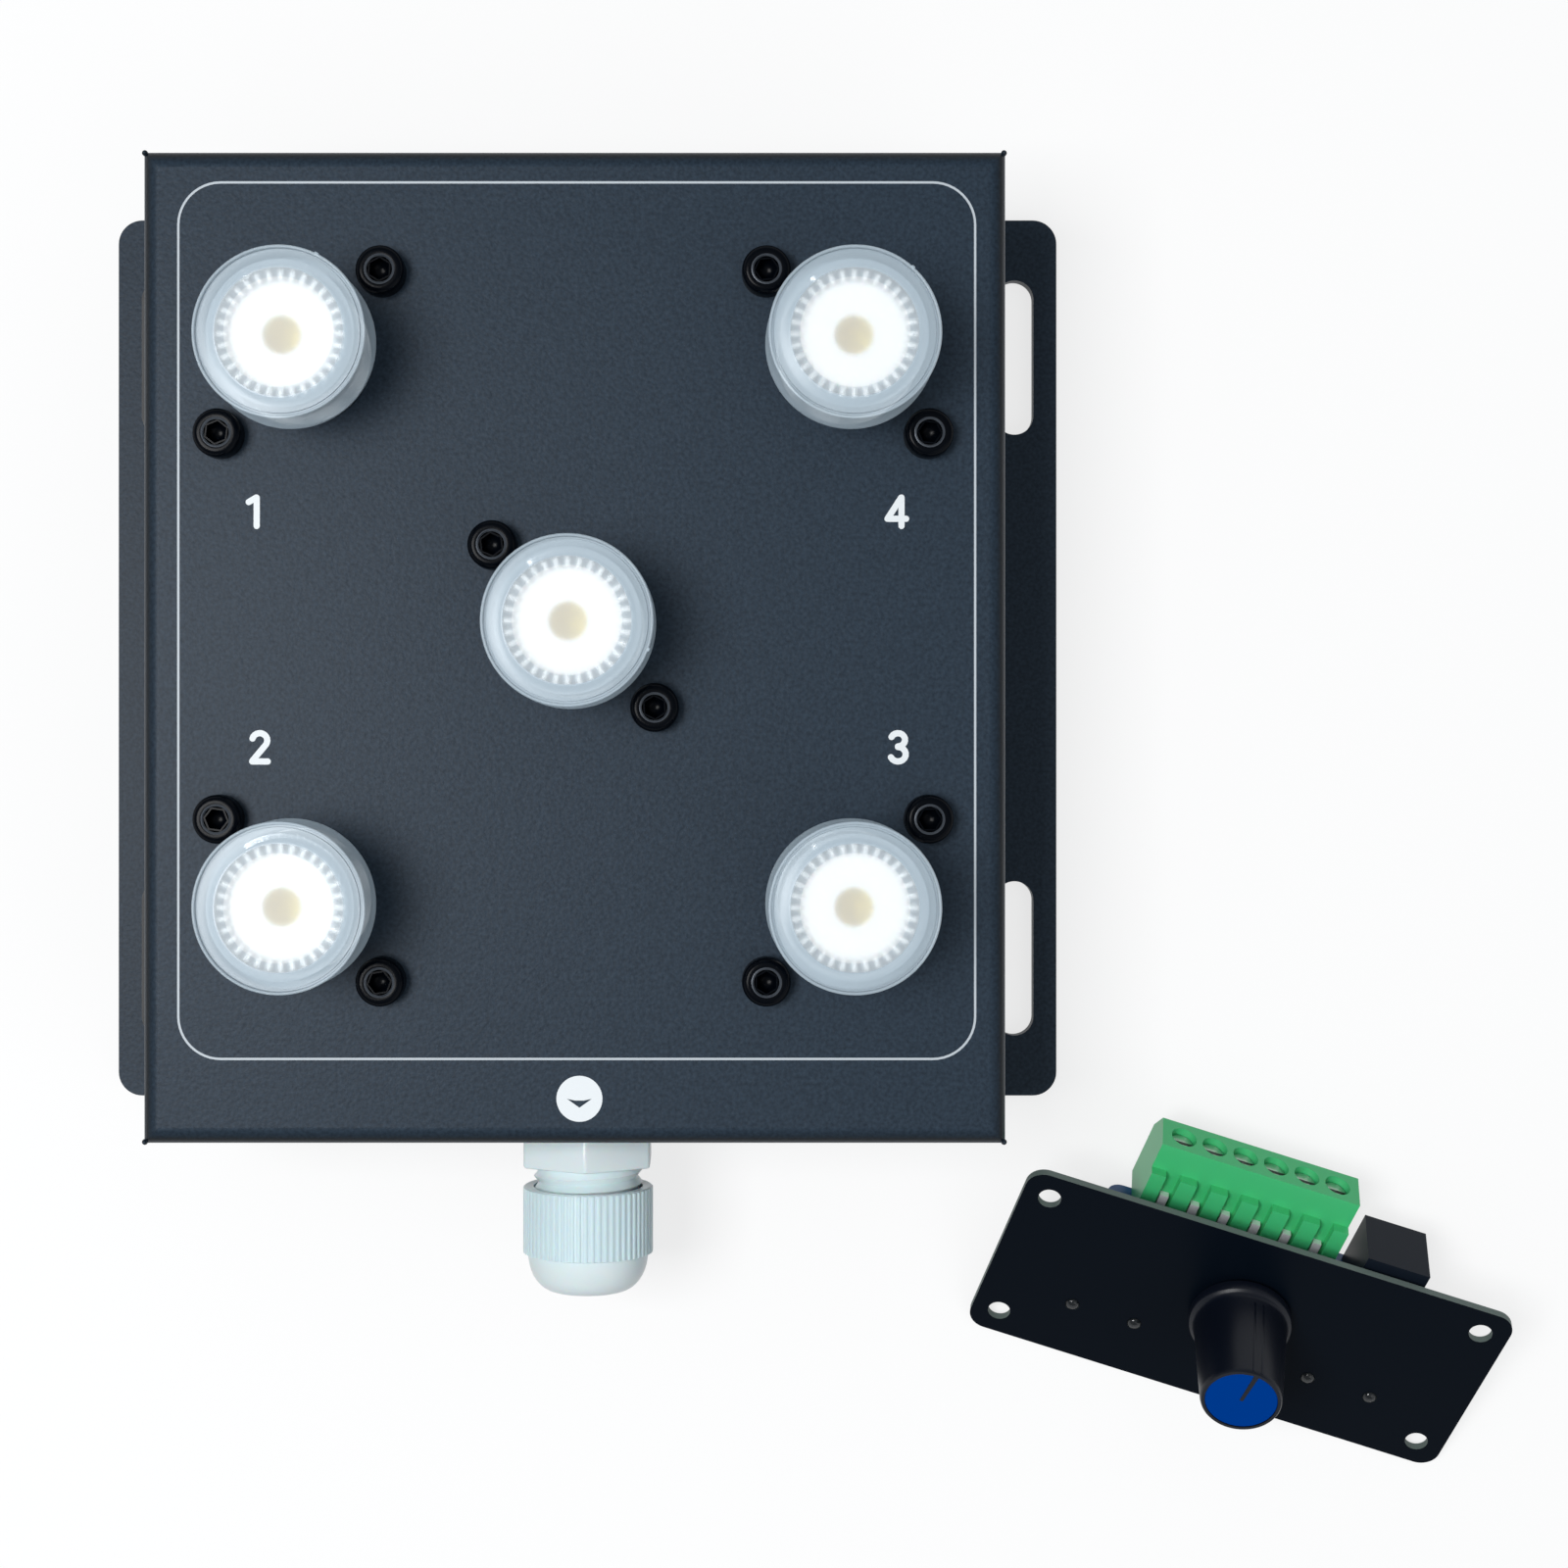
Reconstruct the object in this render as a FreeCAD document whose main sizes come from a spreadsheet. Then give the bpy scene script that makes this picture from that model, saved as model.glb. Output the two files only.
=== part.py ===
"""Remote coaxial antenna switch: a wall box with five coaxial sockets and relays, and its small control unit.

Millimetres. The origin is the middle of the back plate's rear face, +Z points out of the front cover,
-Y is the side of the cable gland. Both units lie on the plane z = 0.
"""
import FreeCAD, Part
import os
import re
import Sketcher
from FreeCAD import Placement, Rotation, Vector

# Driving dimensions: word, value in mm (or degrees, or a count), what it measures.
SIZES = (
    # folded front cover and back plate
    ("cover_width", 97.8, "front cover across, outside"),
    ("cover_length", 112.5, "front cover along the gland's axis, outside"),
    ("box_depth", 38.0, "back plate's rear face to the cover's front face"),
    ("cover_wall", 1.2, "sheet thickness of the cover"),
    ("cover_bend", 2.0, "outside radius of the cover's four front bends"),
    ("seam_gap", 0.25, "open seam at each standing corner of the cover"),
    ("flange_reach", 10.4, "back plate's flange beyond the cover's side"),
    ("plate_setback", 0.9, "back plate's end from the cover's end"),
    ("plate_thickness", 2.0, "back plate sheet"),
    ("plate_corner", 3.0, "back plate corner radius"),
    ("slot_width", 4.8, "mounting slot width, for M4 or a 4.5 mm wood screw"),
    ("slot_length", 19.5, "mounting slot, end to end"),
    ("slot_spacing", 76.0, "mounting slots' centres along the flange"),
    ("slot_margin", 2.9, "slot to the flange's outer edge"),
    ("tab_width", 12.0, "cover's fixing tab along the wall"),
    ("tab_reach", 8.0, "cover's fixing tab inwards"),
    ("tab_spacing", 80.0, "fixing tabs' centres along the wall"),
    # M3 fasteners
    ("thread_radius", 1.5, "M3 shank"),
    ("screw_hole", 1.65, "radius of a clearance hole for M3"),
    ("snug", 0.02, "gap between fixed pieces that fit into each other"),
    ("flat_head_radius", 2.75, "countersunk head"),
    ("flat_head_recess", 2.8, "countersink in the back plate"),
    ("cover_screw_length", 7.0, "countersunk screw, overall"),
    ("press_nut_radius", 3.0, "self-clinching nut"),
    ("press_nut_height", 1.8, "self-clinching nut"),
    ("cap_head_radius", 2.75, "cap screw head"),
    ("cap_head_height", 3.0, "cap screw head"),
    ("cap_head_edge", 0.3, "rounding of the cap screw's head"),
    ("cap_hex_flats", 2.5, "hexagon socket of the cap screws"),
    ("cap_hex_depth", 1.6, "hexagon socket of the cap screws"),
    ("flat_hex_flats", 2.0, "hexagon socket of the countersunk screws"),
    ("flat_hex_depth", 1.1, "hexagon socket of the countersunk screws"),
    ("cap_screw_length", 16.0, "cap screw under its head"),
    ("hex_nut_flats", 5.5, "M3 nut across flats"),
    ("hex_nut_height", 2.4, "M3 nut"),
    # UHF sockets
    ("socket_side", 18.1, "outer sockets from the cover's sides"),
    ("socket_head", 23.15, "upper sockets from the cover's upper end"),
    ("socket_foot", 27.75, "lower sockets from the cover's end with the gland"),
    ("socket_rise", 2.3, "middle socket above the cover's middle"),
    ("flange_side", 25.4, "square flange"),
    ("flange_thickness", 2.0, "square flange"),
    ("flange_hole_offset", 9.13, "flange screws from the socket's axis, both ways"),
    ("barrel_radius", 7.94, "5/8 inch thread, outside"),
    ("barrel_length", 15.5, "flange's front face to the rim"),
    ("barrel_bore", 5.8, "socket's mouth radius"),
    ("barrel_chamfer", 0.9, "chamfer outside the rim"),
    ("barrel_gap", 0.16, "cover's hole beyond the barrel"),
    ("mouth_depth", 1.2, "rim to the insulator's face"),
    ("seat_depth", 1.0, "insulator's shoulder behind the flange's front face"),
    ("boss_radius", 6.0, "boss behind the flange"),
    ("boss_length", 3.0, "boss behind the flange"),
    ("neck_radius", 4.5, "insulator's neck inside the boss"),
    ("neck_proud", 1.0, "insulator's neck beyond the boss"),
    ("notch_count", 32, "serrations round the rim"),
    ("notch_width", 0.7, "one serration"),
    ("notch_depth", 0.8, "one serration"),
    ("contact_radius", 2.5, "centre contact, outside"),
    ("contact_bore", 2.0, "centre contact's mouth"),
    ("contact_lip_gap", 0.1, "insulator's hole beyond the contact's mouth"),
    ("contact_recess", 0.6, "centre contact behind the insulator's face"),
    ("contact_bore_depth", 8.0, "centre contact's mouth"),
    ("contact_slit", 0.5, "slits that make the contact springy"),
    ("contact_slit_root", 1.0, "slits above the bottom of the contact's mouth"),
    ("tail_radius", 1.2, "centre contact's solder tail"),
    ("tail_proud", 1.0, "solder tail beyond the relay board"),
    # dust caps
    ("cap_gap", 0.06, "dust cap's running gap on the barrel"),
    ("cap_wall", 1.3, "dust cap wall"),
    ("cap_top", 1.2, "dust cap top"),
    ("cap_height", 9.0, "dust cap, overall"),
    ("cap_air", 1.1, "air between the rim and the cap's top"),
    ("cap_edge", 0.5, "rounding of the cap's top edge"),
    ("cap_bead", 0.1, "bead at the cap's open end, outwards"),
    ("cap_bead_height", 1.0, "bead at the cap's open end"),
    # relay board
    ("spacer_length", 6.2, "flange to the relay board"),
    ("spacer_radius", 2.5, "spacer"),
    ("board_side_gap", 3.7, "relay board to the cover's side walls"),
    ("board_margin", 0.4, "relay board beyond the relays and the sockets' nuts"),
    ("board_thickness", 1.6, "both circuit boards"),
    ("tail_hole", 1.5, "board hole for a socket's solder tail"),
    ("pin_radius", 0.5, "component pins"),
    ("pin_hole", 0.65, "board hole for a component pin"),
    ("pin_proud", 1.2, "component pins beyond their board"),
    # relays, hanging under the board
    ("relay_nut_gap", 0.65, "relays from the outer sockets' nuts"),
    ("relay_upper_gap", 4.0, "upper relays from the middle socket's nut"),
    ("relay_lower_gap", 1.5, "lower relays from the middle socket's nut"),
    ("relay_width", 12.7, "relay case"),
    ("relay_length", 29.0, "relay case"),
    ("relay_height", 15.4, "relay case"),
    ("relay_standoff", 0.3, "relay below the board"),
    ("relay_wall", 0.7, "relay case wall"),
    ("relay_pin_side", 3.75, "outer pins from the relay's middle line"),
    ("relay_pin_end", 12.5, "outer pins from the relay's middle, lengthwise"),
    ("relay_common_pin", 8.5, "moving contact's pin from the relay's middle"),
    ("base_height", 2.0, "relay's plastic base"),
    ("coil_shift", 4.5, "coil's axis from the relay's middle"),
    ("coil_radius", 4.7, "winding, outside"),
    ("coil_length", 7.4, "winding"),
    ("bobbin_side", 10.4, "bobbin's square ends"),
    ("bobbin_end", 0.8, "bobbin's ends"),
    ("bobbin_wall", 0.6, "bobbin's tube"),
    ("core_radius", 2.0, "iron core"),
    ("pole_radius", 3.2, "core's pole"),
    ("pole_height", 0.6, "core's pole"),
    ("yoke_width", 9.0, "yoke"),
    ("yoke_wall", 1.2, "yoke's upright leg"),
    ("yoke_foot", 1.0, "yoke's leg under the coil"),
    ("yoke_shift", 1.6, "upright leg from the relay's middle"),
    ("air_gap", 0.8, "open gap between pole and armature"),
    ("armature_wall", 0.9, "armature plate"),
    ("armature_play", 0.1, "armature from the yoke's edge, and from the resting contact"),
    ("arm_width", 4.4, "contact spring"),
    ("arm_wall", 0.3, "contact spring and fixed blades"),
    ("arm_shift", 4.4, "contact spring from the relay's middle"),
    ("contact_height", 0.4, "contact rivets"),
    ("rivet_radius", 1.2, "contact rivets"),
    ("contact_travel", 0.65, "moving rivet to the working rivet"),
    # suppressor diodes
    ("diode_side", 2.6, "diodes from the box's middle"),
    ("diode_radius", 1.35, "diode body"),
    ("diode_length", 5.2, "diode body"),
    ("lead_radius", 0.4, "diode leads"),
    ("lead_span", 10.0, "diode leads' spacing"),
    # screw terminals
    ("pole_spacing", 3.96, "terminals' spacing"),
    ("pole_count", 6, "terminals in a block"),
    ("block_end", 0.8, "terminal block beyond its outer terminals"),
    ("block_depth", 9.0, "terminal block"),
    ("block_height", 11.5, "terminal block"),
    ("block_top", 5.1, "terminal block's flat top"),
    ("rib_depth", 1.3, "ribs on the terminal block's back"),
    ("rib_height", 7.7, "ribs on the terminal block's back"),
    ("rib_recess", 1.8, "recess between two ribs"),
    ("shoulder_height", 8.1, "foot of the slope above the wire entries"),
    ("well_radius", 1.6, "screw well"),
    ("entry_width", 2.7, "wire entry"),
    ("entry_floor", 2.6, "wire entry above the board"),
    ("entry_height", 3.2, "wire entry"),
    ("entry_depth", 6.5, "wire entry"),
    ("clamp_head_radius", 1.45, "terminal screw"),
    ("clamp_head_height", 1.2, "terminal screw"),
    ("clamp_head_drop", 1.0, "terminal screw below the block's top"),
    ("clamp_shank_radius", 1.0, "terminal screw"),
    ("clamp_length", 6.0, "terminal screw, overall"),
    ("clamp_slot", 0.5, "terminal screw's slot"),
    ("blade_width", 1.1, "terminal's tail"),
    ("blade_wall", 0.5, "terminal's tail"),
    ("blade_height", 4.5, "terminal's tail above the board, where it bends into the block"),
    ("blade_gap", 0.1, "board hole beyond a terminal's tail"),
    ("block_edge", 0.25, "relay board's terminal block from the board's side"),
    ("block_rise", 2.5, "relay board's terminal block above the box's middle"),
    # cable gland, measured outwards from the cover's wall
    ("gland_height", 19.0, "gland's axis above the back"),
    ("gland_side", 0.8, "gland's axis from the box's middle, towards +X"),
    ("gland_thread", 6.25, "gland's threaded tail, radius"),
    ("gland_hole_gap", 0.15, "cover's hole beyond the tail"),
    ("gasket_height", 1.0, "gasket"),
    ("gasket_radius", 7.6, "gasket"),
    ("gland_flats", 15.0, "gland's hexagon"),
    ("gland_hex_height", 4.0, "gland's hexagon"),
    ("gland_tail", 9.0, "tail behind the gasket's face"),
    ("gland_bore", 4.0, "gland's bore"),
    ("gland_neck", 6.5, "threaded neck, radius"),
    ("gland_neck_top", 12.5, "neck's end from the wall"),
    ("claw_bore", 5.55, "neck's bore round the claw"),
    ("claw_seat", 5.0, "bottom of that bore from the wall"),
    ("claw_gap", 0.08, "claw's running gap in the neck"),
    ("claw_wall", 0.75, "claw"),
    ("claw_start", 8.0, "claw's inner end from the wall"),
    ("claw_length", 7.2, "claw"),
    ("claw_slit", 0.8, "slits between the claw's fingers"),
    ("claw_fingers", 8, "fingers of the claw"),
    ("seal_bore", 3.25, "rubber seal's bore, for a cable of 6.5"),
    ("seal_length", 5.5, "rubber seal"),
    ("nut_gap", 0.06, "dome nut's running gap on the neck"),
    ("nut_radius", 7.8, "dome nut over its ribs"),
    ("nut_start", 7.6, "dome nut's inner end from the wall"),
    ("nut_ribbed", 8.0, "ribbed length of the dome nut"),
    ("nut_length", 12.5, "dome nut, overall"),
    ("nut_mouth", 3.6, "dome nut's mouth"),
    ("nut_face", 4.0, "dome nut's end face, radius"),
    ("nut_dome", 7.2, "dome nut beyond its ribs, radius"),
    ("nut_inside", 7.65, "dome nut's shoulder on the claw, from its inner end"),
    ("rib_count", 60, "grooves round the dome nut"),
    ("groove_radius", 0.25, "one groove"),
    ("locknut_flats", 17.0, "locknut"),
    ("locknut_height", 3.0, "locknut"),
    # control unit: its own X runs along the panel, Y up the panel, Z out of it from the panel's rear face
    ("unit_side", 77.6, "middle of the panel's lower rear edge, towards +X"),
    ("unit_drop", 92.9, "middle of the panel's lower rear edge, towards -Y"),
    ("unit_yaw", 17.4, "panel's length from +X towards -Y, degrees"),
    ("panel_width", 62.0, "control panel"),
    ("panel_height", 26.7, "control panel"),
    ("panel_thickness", 1.0, "control panel"),
    ("panel_corner", 2.4, "control panel's corners"),
    ("panel_hole", 1.4, "panel's fixing holes, radius"),
    ("panel_hole_width", 55.2, "panel's fixing holes, along"),
    ("panel_hole_height", 19.8, "panel's fixing holes, up"),
    ("deck_level", 20.2, "control board's upper face up the panel"),
    ("deck_left", 19.4, "control board's left end from the panel's middle"),
    ("deck_width", 41.7, "control board"),
    ("deck_depth", 9.5, "control board behind the panel"),
    ("deck_corner", 2.1, "control board's rear corners"),
    ("block_setback", 3.9, "terminal block's ribs behind the panel"),
    ("block_left", 3.6, "terminal block's middle, left of the panel's middle"),
    ("lamp_level", 8.1, "indicator lamps up the panel"),
    ("lamp_near", 11.4, "inner lamps from the middle"),
    ("lamp_far", 19.5, "outer lamps from the middle"),
    ("lamp_radius", 0.85, "lamp's lens"),
    ("lamp_collar", 1.3, "lamp's collar behind the panel"),
    ("lamp_gap", 0.05, "panel's hole beyond the lens"),
    ("lamp_depth", 2.0, "lamp behind the panel"),
    ("switch_side", 7.6, "rotary switch's body"),
    ("switch_depth", 4.0, "rotary switch's body"),
    ("switch_drop", 0.1, "switch body below the control board"),
    ("switch_pin_spacing", 1.6, "rotary switch's pins"),
    ("switch_pin_depth", 2.2, "rotary switch's pins behind the panel"),
    ("bushing_radius", 3.0, "threaded bushing"),
    ("bushing_length", 4.5, "threaded bushing in front of the panel"),
    ("bushing_gap", 0.1, "panel's hole beyond the bushing"),
    ("journal_radius", 2.0, "shaft inside the bushing"),
    ("journal_depth", 2.6, "shaft behind the panel's rear face"),
    ("journal_gap", 0.05, "shaft's running gap"),
    ("journal_end_gap", 0.1, "shaft's end from the switch's inside"),
    ("shaft_radius", 3.0, "shaft inside the knob"),
    ("shaft_top", 12.4, "shaft's end from the panel's rear face"),
    ("washer_height", 0.5, "washer under the bushing's nut"),
    ("washer_radius", 4.5, "washer under the bushing's nut"),
    ("bush_nut_flats", 8.0, "bushing's nut"),
    ("bush_nut_height", 2.0, "bushing's nut"),
    ("knob_lift", 0.7, "knob above the panel"),
    ("knob_skirt", 6.25, "knob's skirt, radius"),
    ("knob_skirt_height", 1.55, "knob's skirt"),
    ("knob_foot", 5.5, "knob's grip at the skirt, radius"),
    ("knob_foot_height", 2.25, "knob's grip starts here"),
    ("knob_crown", 4.8, "knob's grip at the top, radius"),
    ("knob_height", 14.2, "knob, overall"),
    ("knob_hollow", 4.9, "hollow under the knob, radius"),
    ("knob_hollow_depth", 4.4, "hollow under the knob"),
    ("knob_insert", 4.3, "knob's coloured cap, radius"),
    ("knob_insert_depth", 1.0, "knob's coloured cap"),
    ("pointer_width", 0.8, "pointer groove"),
    ("pointer_depth", 0.3, "pointer groove"),
    ("pointer_angle", 4.0, "pointer's turn clockwise from straight up, degrees"),
    ("jack_width", 7.9, "power jack"),
    ("jack_height", 7.6, "power jack"),
    ("jack_depth", 8.0, "power jack"),
    ("jack_left", 11.5, "power jack's side along the panel"),
    ("jack_setback", 0.8, "power jack behind the panel"),
    ("jack_mouth", 2.8, "power jack's mouth, radius"),
    ("jack_mouth_depth", 7.2, "power jack's mouth"),
    ("jack_axis", 4.1, "power jack's axis above the control board"),
    ("jack_pin_radius", 1.0, "power jack's pin"),
    ("jack_pin_length", 6.5, "power jack's pin"),
)

doc = FreeCAD.newDocument("antenna_switch")
sheet = doc.addObject("Spreadsheet::Sheet", "Params")
for row, (word, number, note) in enumerate(SIZES, start=1):
    sheet.set("A%d" % row, word)
    sheet.set("B%d" % row, str(number))
    sheet.set("C%d" % row, note)
    sheet.setAlias("B%d" % row, word)
doc.recompute()

FUNCTIONS = "sin|cos|tan|atan|sqrt|min|max|placement|vector|rotationx|rotationz"
WORDS = re.compile(r"\b(?!(?:%s)\b)([a-z][a-z_]*)\b" % FUNCTIONS)
NODES = {}
ALONG = {
    "+z": Rotation(),
    "-z": Rotation(Vector(1, 0, 0), 180),
    "+y": Rotation(Vector(1, 0, 0), -90),
    "-y": Rotation(Vector(1, 0, 0), 90),
    "+x": Rotation(Vector(0, 1, 0), 90),
}


# ---------------------------------------------------------------- helpers

def link(text):
    """An expression in the sheet's words, as the document writes it."""
    return WORDS.sub(r"Params.\1", str(text))


def value(text):
    """The number that an expression in the sheet's words stands for now."""
    return float(sheet.evalExpression(link(text)))


def bind(thing, **sizes):
    """Bind properties to expressions in the sheet's words."""
    for name, text in sizes.items():
        thing.setExpression(name, link(text))


def put(thing, spot, turn=None):
    """Place a thing at a bound spot, turned by a fixed rotation."""
    if turn is not None:
        thing.Placement = Placement(Vector(), turn)
    for axis, text in zip("xyz", spot):
        thing.setExpression("Placement.Base." + axis, link(text))
    return thing


def block(name, size, corner):
    """A box from its three sizes and its lowest corner."""
    box = doc.addObject("Part::Box", name)
    bind(box, Length=size[0], Width=size[1], Height=size[2])
    return put(box, corner)


def rod(name, radius, length, start, along="+z"):
    """A cylinder from the middle of one end, along an axis."""
    cylinder = doc.addObject("Part::Cylinder", name)
    bind(cylinder, Radius=radius, Height=length)
    return put(cylinder, start, ALONG[along])


def hexagon(name, flats, height, start, along="+z"):
    """A hexagonal prism by its size across flats, with two flats facing its own X."""
    prism = doc.addObject("Part::Prism", name)
    prism.Polygon = 6
    bind(prism, Circumradius="(%s) / sqrt(3)" % flats, Height=height)
    return put(prism, start, ALONG[along] * Rotation(Vector(0, 0, 1), 30))


def fuse(name, *pieces):
    """One solid from several that touch."""
    whole = doc.addObject("Part::MultiFuse", name)
    whole.Shapes = list(pieces)
    return whole


def group(name, pieces):
    """Several separate solids as one thing."""
    whole = doc.addObject("Part::Compound", name)
    whole.Links = list(pieces)
    return whole


def cut(name, base, *tools):
    """A solid less one or several others that stand apart from each other."""
    rest = doc.addObject("Part::Cut", name)
    rest.Base = base
    rest.Tool = tools[0] if len(tools) == 1 else group(name + "_tools", tools)
    return rest


def twin(name, piece, spot, turn=None):
    """A copy of a finished piece at another spot."""
    return put(group(name, [piece]), spot, turn)


def keep(label, thing):
    """Name a finished sub-part: its label is its file's name."""
    thing.Label = label
    NODES[label] = thing
    return thing


def new_body(name):
    return doc.addObject("PartDesign::Body", name)


def origin_part(body, role):
    return next(item for item in body.Origin.OriginFeatures if item.Role == role)


def new_sketch(body, name, plane="XY_Plane", offset="0"):
    """An empty sketch on one of the body's origin planes, moved along the plane's normal."""
    sketch = body.newObject("Sketcher::SketchObject", name)
    sketch.AttachmentSupport = [(origin_part(body, plane), "")]
    sketch.MapMode = "FlatFace"
    sketch.setExpression("AttachmentOffset.Base.z", link(offset))
    return sketch


def pin(sketch, kind, item, spot, text):
    """Hold one coordinate of a point of the sketch at an expression."""
    index = sketch.addConstraint(Sketcher.Constraint(kind, -1, 1, item, spot, value(text)))
    sketch.setExpression("Constraints[%d]" % index, link(text))


def outline(sketch, points):
    """A closed outline through points whose coordinates are expressions."""
    first = sketch.GeometryCount
    spots = [Vector(value(x), value(y), 0) for x, y in points]
    for start, end in zip(spots, spots[1:] + spots[:1]):
        sketch.addGeometry(Part.LineSegment(start, end))
    for step, (x, y) in enumerate(points):
        line = first + step
        following = first + (step + 1) % len(points)
        sketch.addConstraint(Sketcher.Constraint("Coincident", line, 2, following, 1))
        pin(sketch, "DistanceX", line, 1, x)
        pin(sketch, "DistanceY", line, 1, y)


def rectangle(sketch, x_low, y_low, x_high, y_high):
    outline(sketch, [(x_low, y_low), (x_high, y_low), (x_high, y_high), (x_low, y_high)])


def centred(sketch, width, height, x="0", y="0"):
    """A rectangle about a middle point."""
    rectangle(sketch, "%s - (%s) / 2" % (x, width), "%s - (%s) / 2" % (y, height),
              "%s + (%s) / 2" % (x, width), "%s + (%s) / 2" % (y, height))


def circle(sketch, x, y, radius):
    item = sketch.addGeometry(Part.Circle(Vector(value(x), value(y), 0), Vector(0, 0, 1), value(radius)))
    pin(sketch, "DistanceX", item, 3, x)
    pin(sketch, "DistanceY", item, 3, y)
    index = sketch.addConstraint(Sketcher.Constraint("Radius", item, value(radius)))
    sketch.setExpression("Constraints[%d]" % index, link(radius))


def long_slot(sketch, x, y, width, length):
    """A slot along the sketch's Y axis, from two half circles and two lines."""
    radius = value(width) / 2
    reach = (value(length) - value(width)) / 2
    middle = Vector(value(x), value(y), 0)
    upright = Vector(0, 0, 1)
    upper = Part.Circle(middle + Vector(0, reach, 0), upright, radius)
    lower = Part.Circle(middle - Vector(0, reach, 0), upright, radius)
    half_turn = 3.141592653589793
    top = sketch.addGeometry(Part.ArcOfCircle(upper, 0, half_turn))
    left = sketch.addGeometry(Part.LineSegment(
        middle + Vector(-radius, reach, 0), middle + Vector(-radius, -reach, 0)))
    foot = sketch.addGeometry(Part.ArcOfCircle(lower, half_turn, 2 * half_turn))
    right = sketch.addGeometry(Part.LineSegment(
        middle + Vector(radius, -reach, 0), middle + Vector(radius, reach, 0)))
    ring = (top, left, foot, right)
    for item, following in zip(ring, ring[1:] + ring[:1]):
        sketch.addConstraint(Sketcher.Constraint("Tangent", item, 2, following, 1))
    pin(sketch, "DistanceX", top, 3, x)
    pin(sketch, "DistanceX", foot, 3, x)
    pin(sketch, "DistanceY", top, 3, "%s + (%s - (%s)) / 2" % (y, length, width))
    pin(sketch, "DistanceY", foot, 3, "%s - (%s - (%s)) / 2" % (y, length, width))
    index = sketch.addConstraint(Sketcher.Constraint("Radius", top, radius))
    sketch.setExpression("Constraints[%d]" % index, link("(%s) / 2" % width))


def pad(body, sketch, length, both_ways=False):
    """Add the sketch's area along its normal, or half each way."""
    feature = body.newObject("PartDesign::Pad", sketch.Name + "_pad")
    feature.Profile = sketch
    feature.Midplane = both_ways
    bind(feature, Length=length)
    doc.recompute()
    return feature


def pocket(body, sketch, length, along_normal=False):
    """Remove the sketch's area against its normal, or along it, and see that something went."""
    before = body.Shape.Volume
    feature = body.newObject("PartDesign::Pocket", sketch.Name + "_pocket")
    feature.Profile = sketch
    feature.Reversed = along_normal
    bind(feature, Length=length)
    doc.recompute()
    if not body.Shape.Volume < before:
        raise RuntimeError("%s removes nothing" % feature.Name)
    return feature


def edges(feature, test):
    """Names of the feature's edges that pass a test."""
    names = []
    for number, edge in enumerate(feature.Shape.Edges, start=1):
        if test(edge):
            names.append("Edge%d" % number)
    return names


def soften(body, kind, base, test, size):
    """Fillet or chamfer the edges that pass a test."""
    feature = body.newObject("PartDesign::" + kind, "%s_%s" % (base.Name, kind.lower()))
    feature.Base = (base, edges(base, test))
    bind(feature, **{"Radius" if kind == "Fillet" else "Size": size})
    doc.recompute()
    return feature


def polar(body, feature, count):
    """Repeat a feature round the body's Z axis."""
    pattern = body.newObject("PartDesign::PolarPattern", feature.Name + "_ring")
    pattern.Originals = [feature]
    pattern.Axis = (origin_part(body, "Z_Axis"), [""])
    pattern.Angle = 360
    bind(pattern, Occurrences=count)
    body.Tip = pattern
    doc.recompute()


def turned(name, profile):
    """A body turned about its Z axis from a closed outline of radius and height pairs."""
    body = new_body(name)
    sketch = new_sketch(body, name + "_profile", "XZ_Plane")
    outline(sketch, profile)
    feature = body.newObject("PartDesign::Revolution", name + "_turn")
    feature.Profile = sketch
    feature.ReferenceAxis = (origin_part(body, "Z_Axis"), [""])
    feature.Angle = 360
    doc.recompute()
    return body


def standing(edge):
    """True for a straight edge along Z."""
    return len(edge.Vertexes) == 2 and edge.BoundBox.ZLength > 0.99 * edge.Length


# ---------------------------------------------------------------- places

MIDDLE = ("0", "socket_rise")
SOCKET_X = "(cover_width / 2 - socket_side)"
SOCKET_TOP = "(cover_length / 2 - socket_head)"
SOCKET_LOW = "(socket_foot - cover_length / 2)"
# name, middle, and the diagonal of the flange that carries the two screws
SOCKETS = (
    ("1", ("-" + SOCKET_X, SOCKET_TOP), 1),
    ("2", ("-" + SOCKET_X, SOCKET_LOW), -1),
    ("3", (SOCKET_X, SOCKET_LOW), 1),
    ("4", (SOCKET_X, SOCKET_TOP), -1),
    ("common", MIDDLE, -1),
)
NUT_CORNER = "hex_nut_flats / sqrt(3)"
RELAY_TOP = "(socket_rise + flange_hole_offset + %s + relay_upper_gap + relay_length / 2)" % NUT_CORNER
RELAY_LOW = "(socket_rise - flange_hole_offset - %s - relay_lower_gap - relay_length / 2)" % NUT_CORNER
RELAY_X = "(%s - flange_hole_offset - %s - relay_nut_gap - relay_width / 2)" % (SOCKET_X, NUT_CORNER)
RELAYS = (
    ("1", ("-" + RELAY_X, RELAY_TOP)),
    ("2", ("-" + RELAY_X, RELAY_LOW)),
    ("3", (RELAY_X, RELAY_LOW)),
    ("4", (RELAY_X, RELAY_TOP)),
)
DIODES = (("-diode_side", RELAY_TOP), ("-diode_side", RELAY_LOW),
          ("diode_side", RELAY_LOW), ("diode_side", RELAY_TOP))
BOARD_SIDE = "(cover_width / 2 - cover_wall - board_side_gap)"
BOARD_HEAD = "(max(%s + flange_hole_offset + %s; %s + relay_length / 2) + board_margin)" % (
    SOCKET_TOP, NUT_CORNER, RELAY_TOP)
BOARD_END = "(min(%s - flange_hole_offset - %s; %s - relay_length / 2) - board_margin)" % (
    SOCKET_LOW, NUT_CORNER, RELAY_LOW)
PLATE_WIDTH = "cover_width + 2 * flange_reach"
SLOT_X = "(cover_width / 2 + flange_reach - slot_margin - slot_width / 2)"
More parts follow.
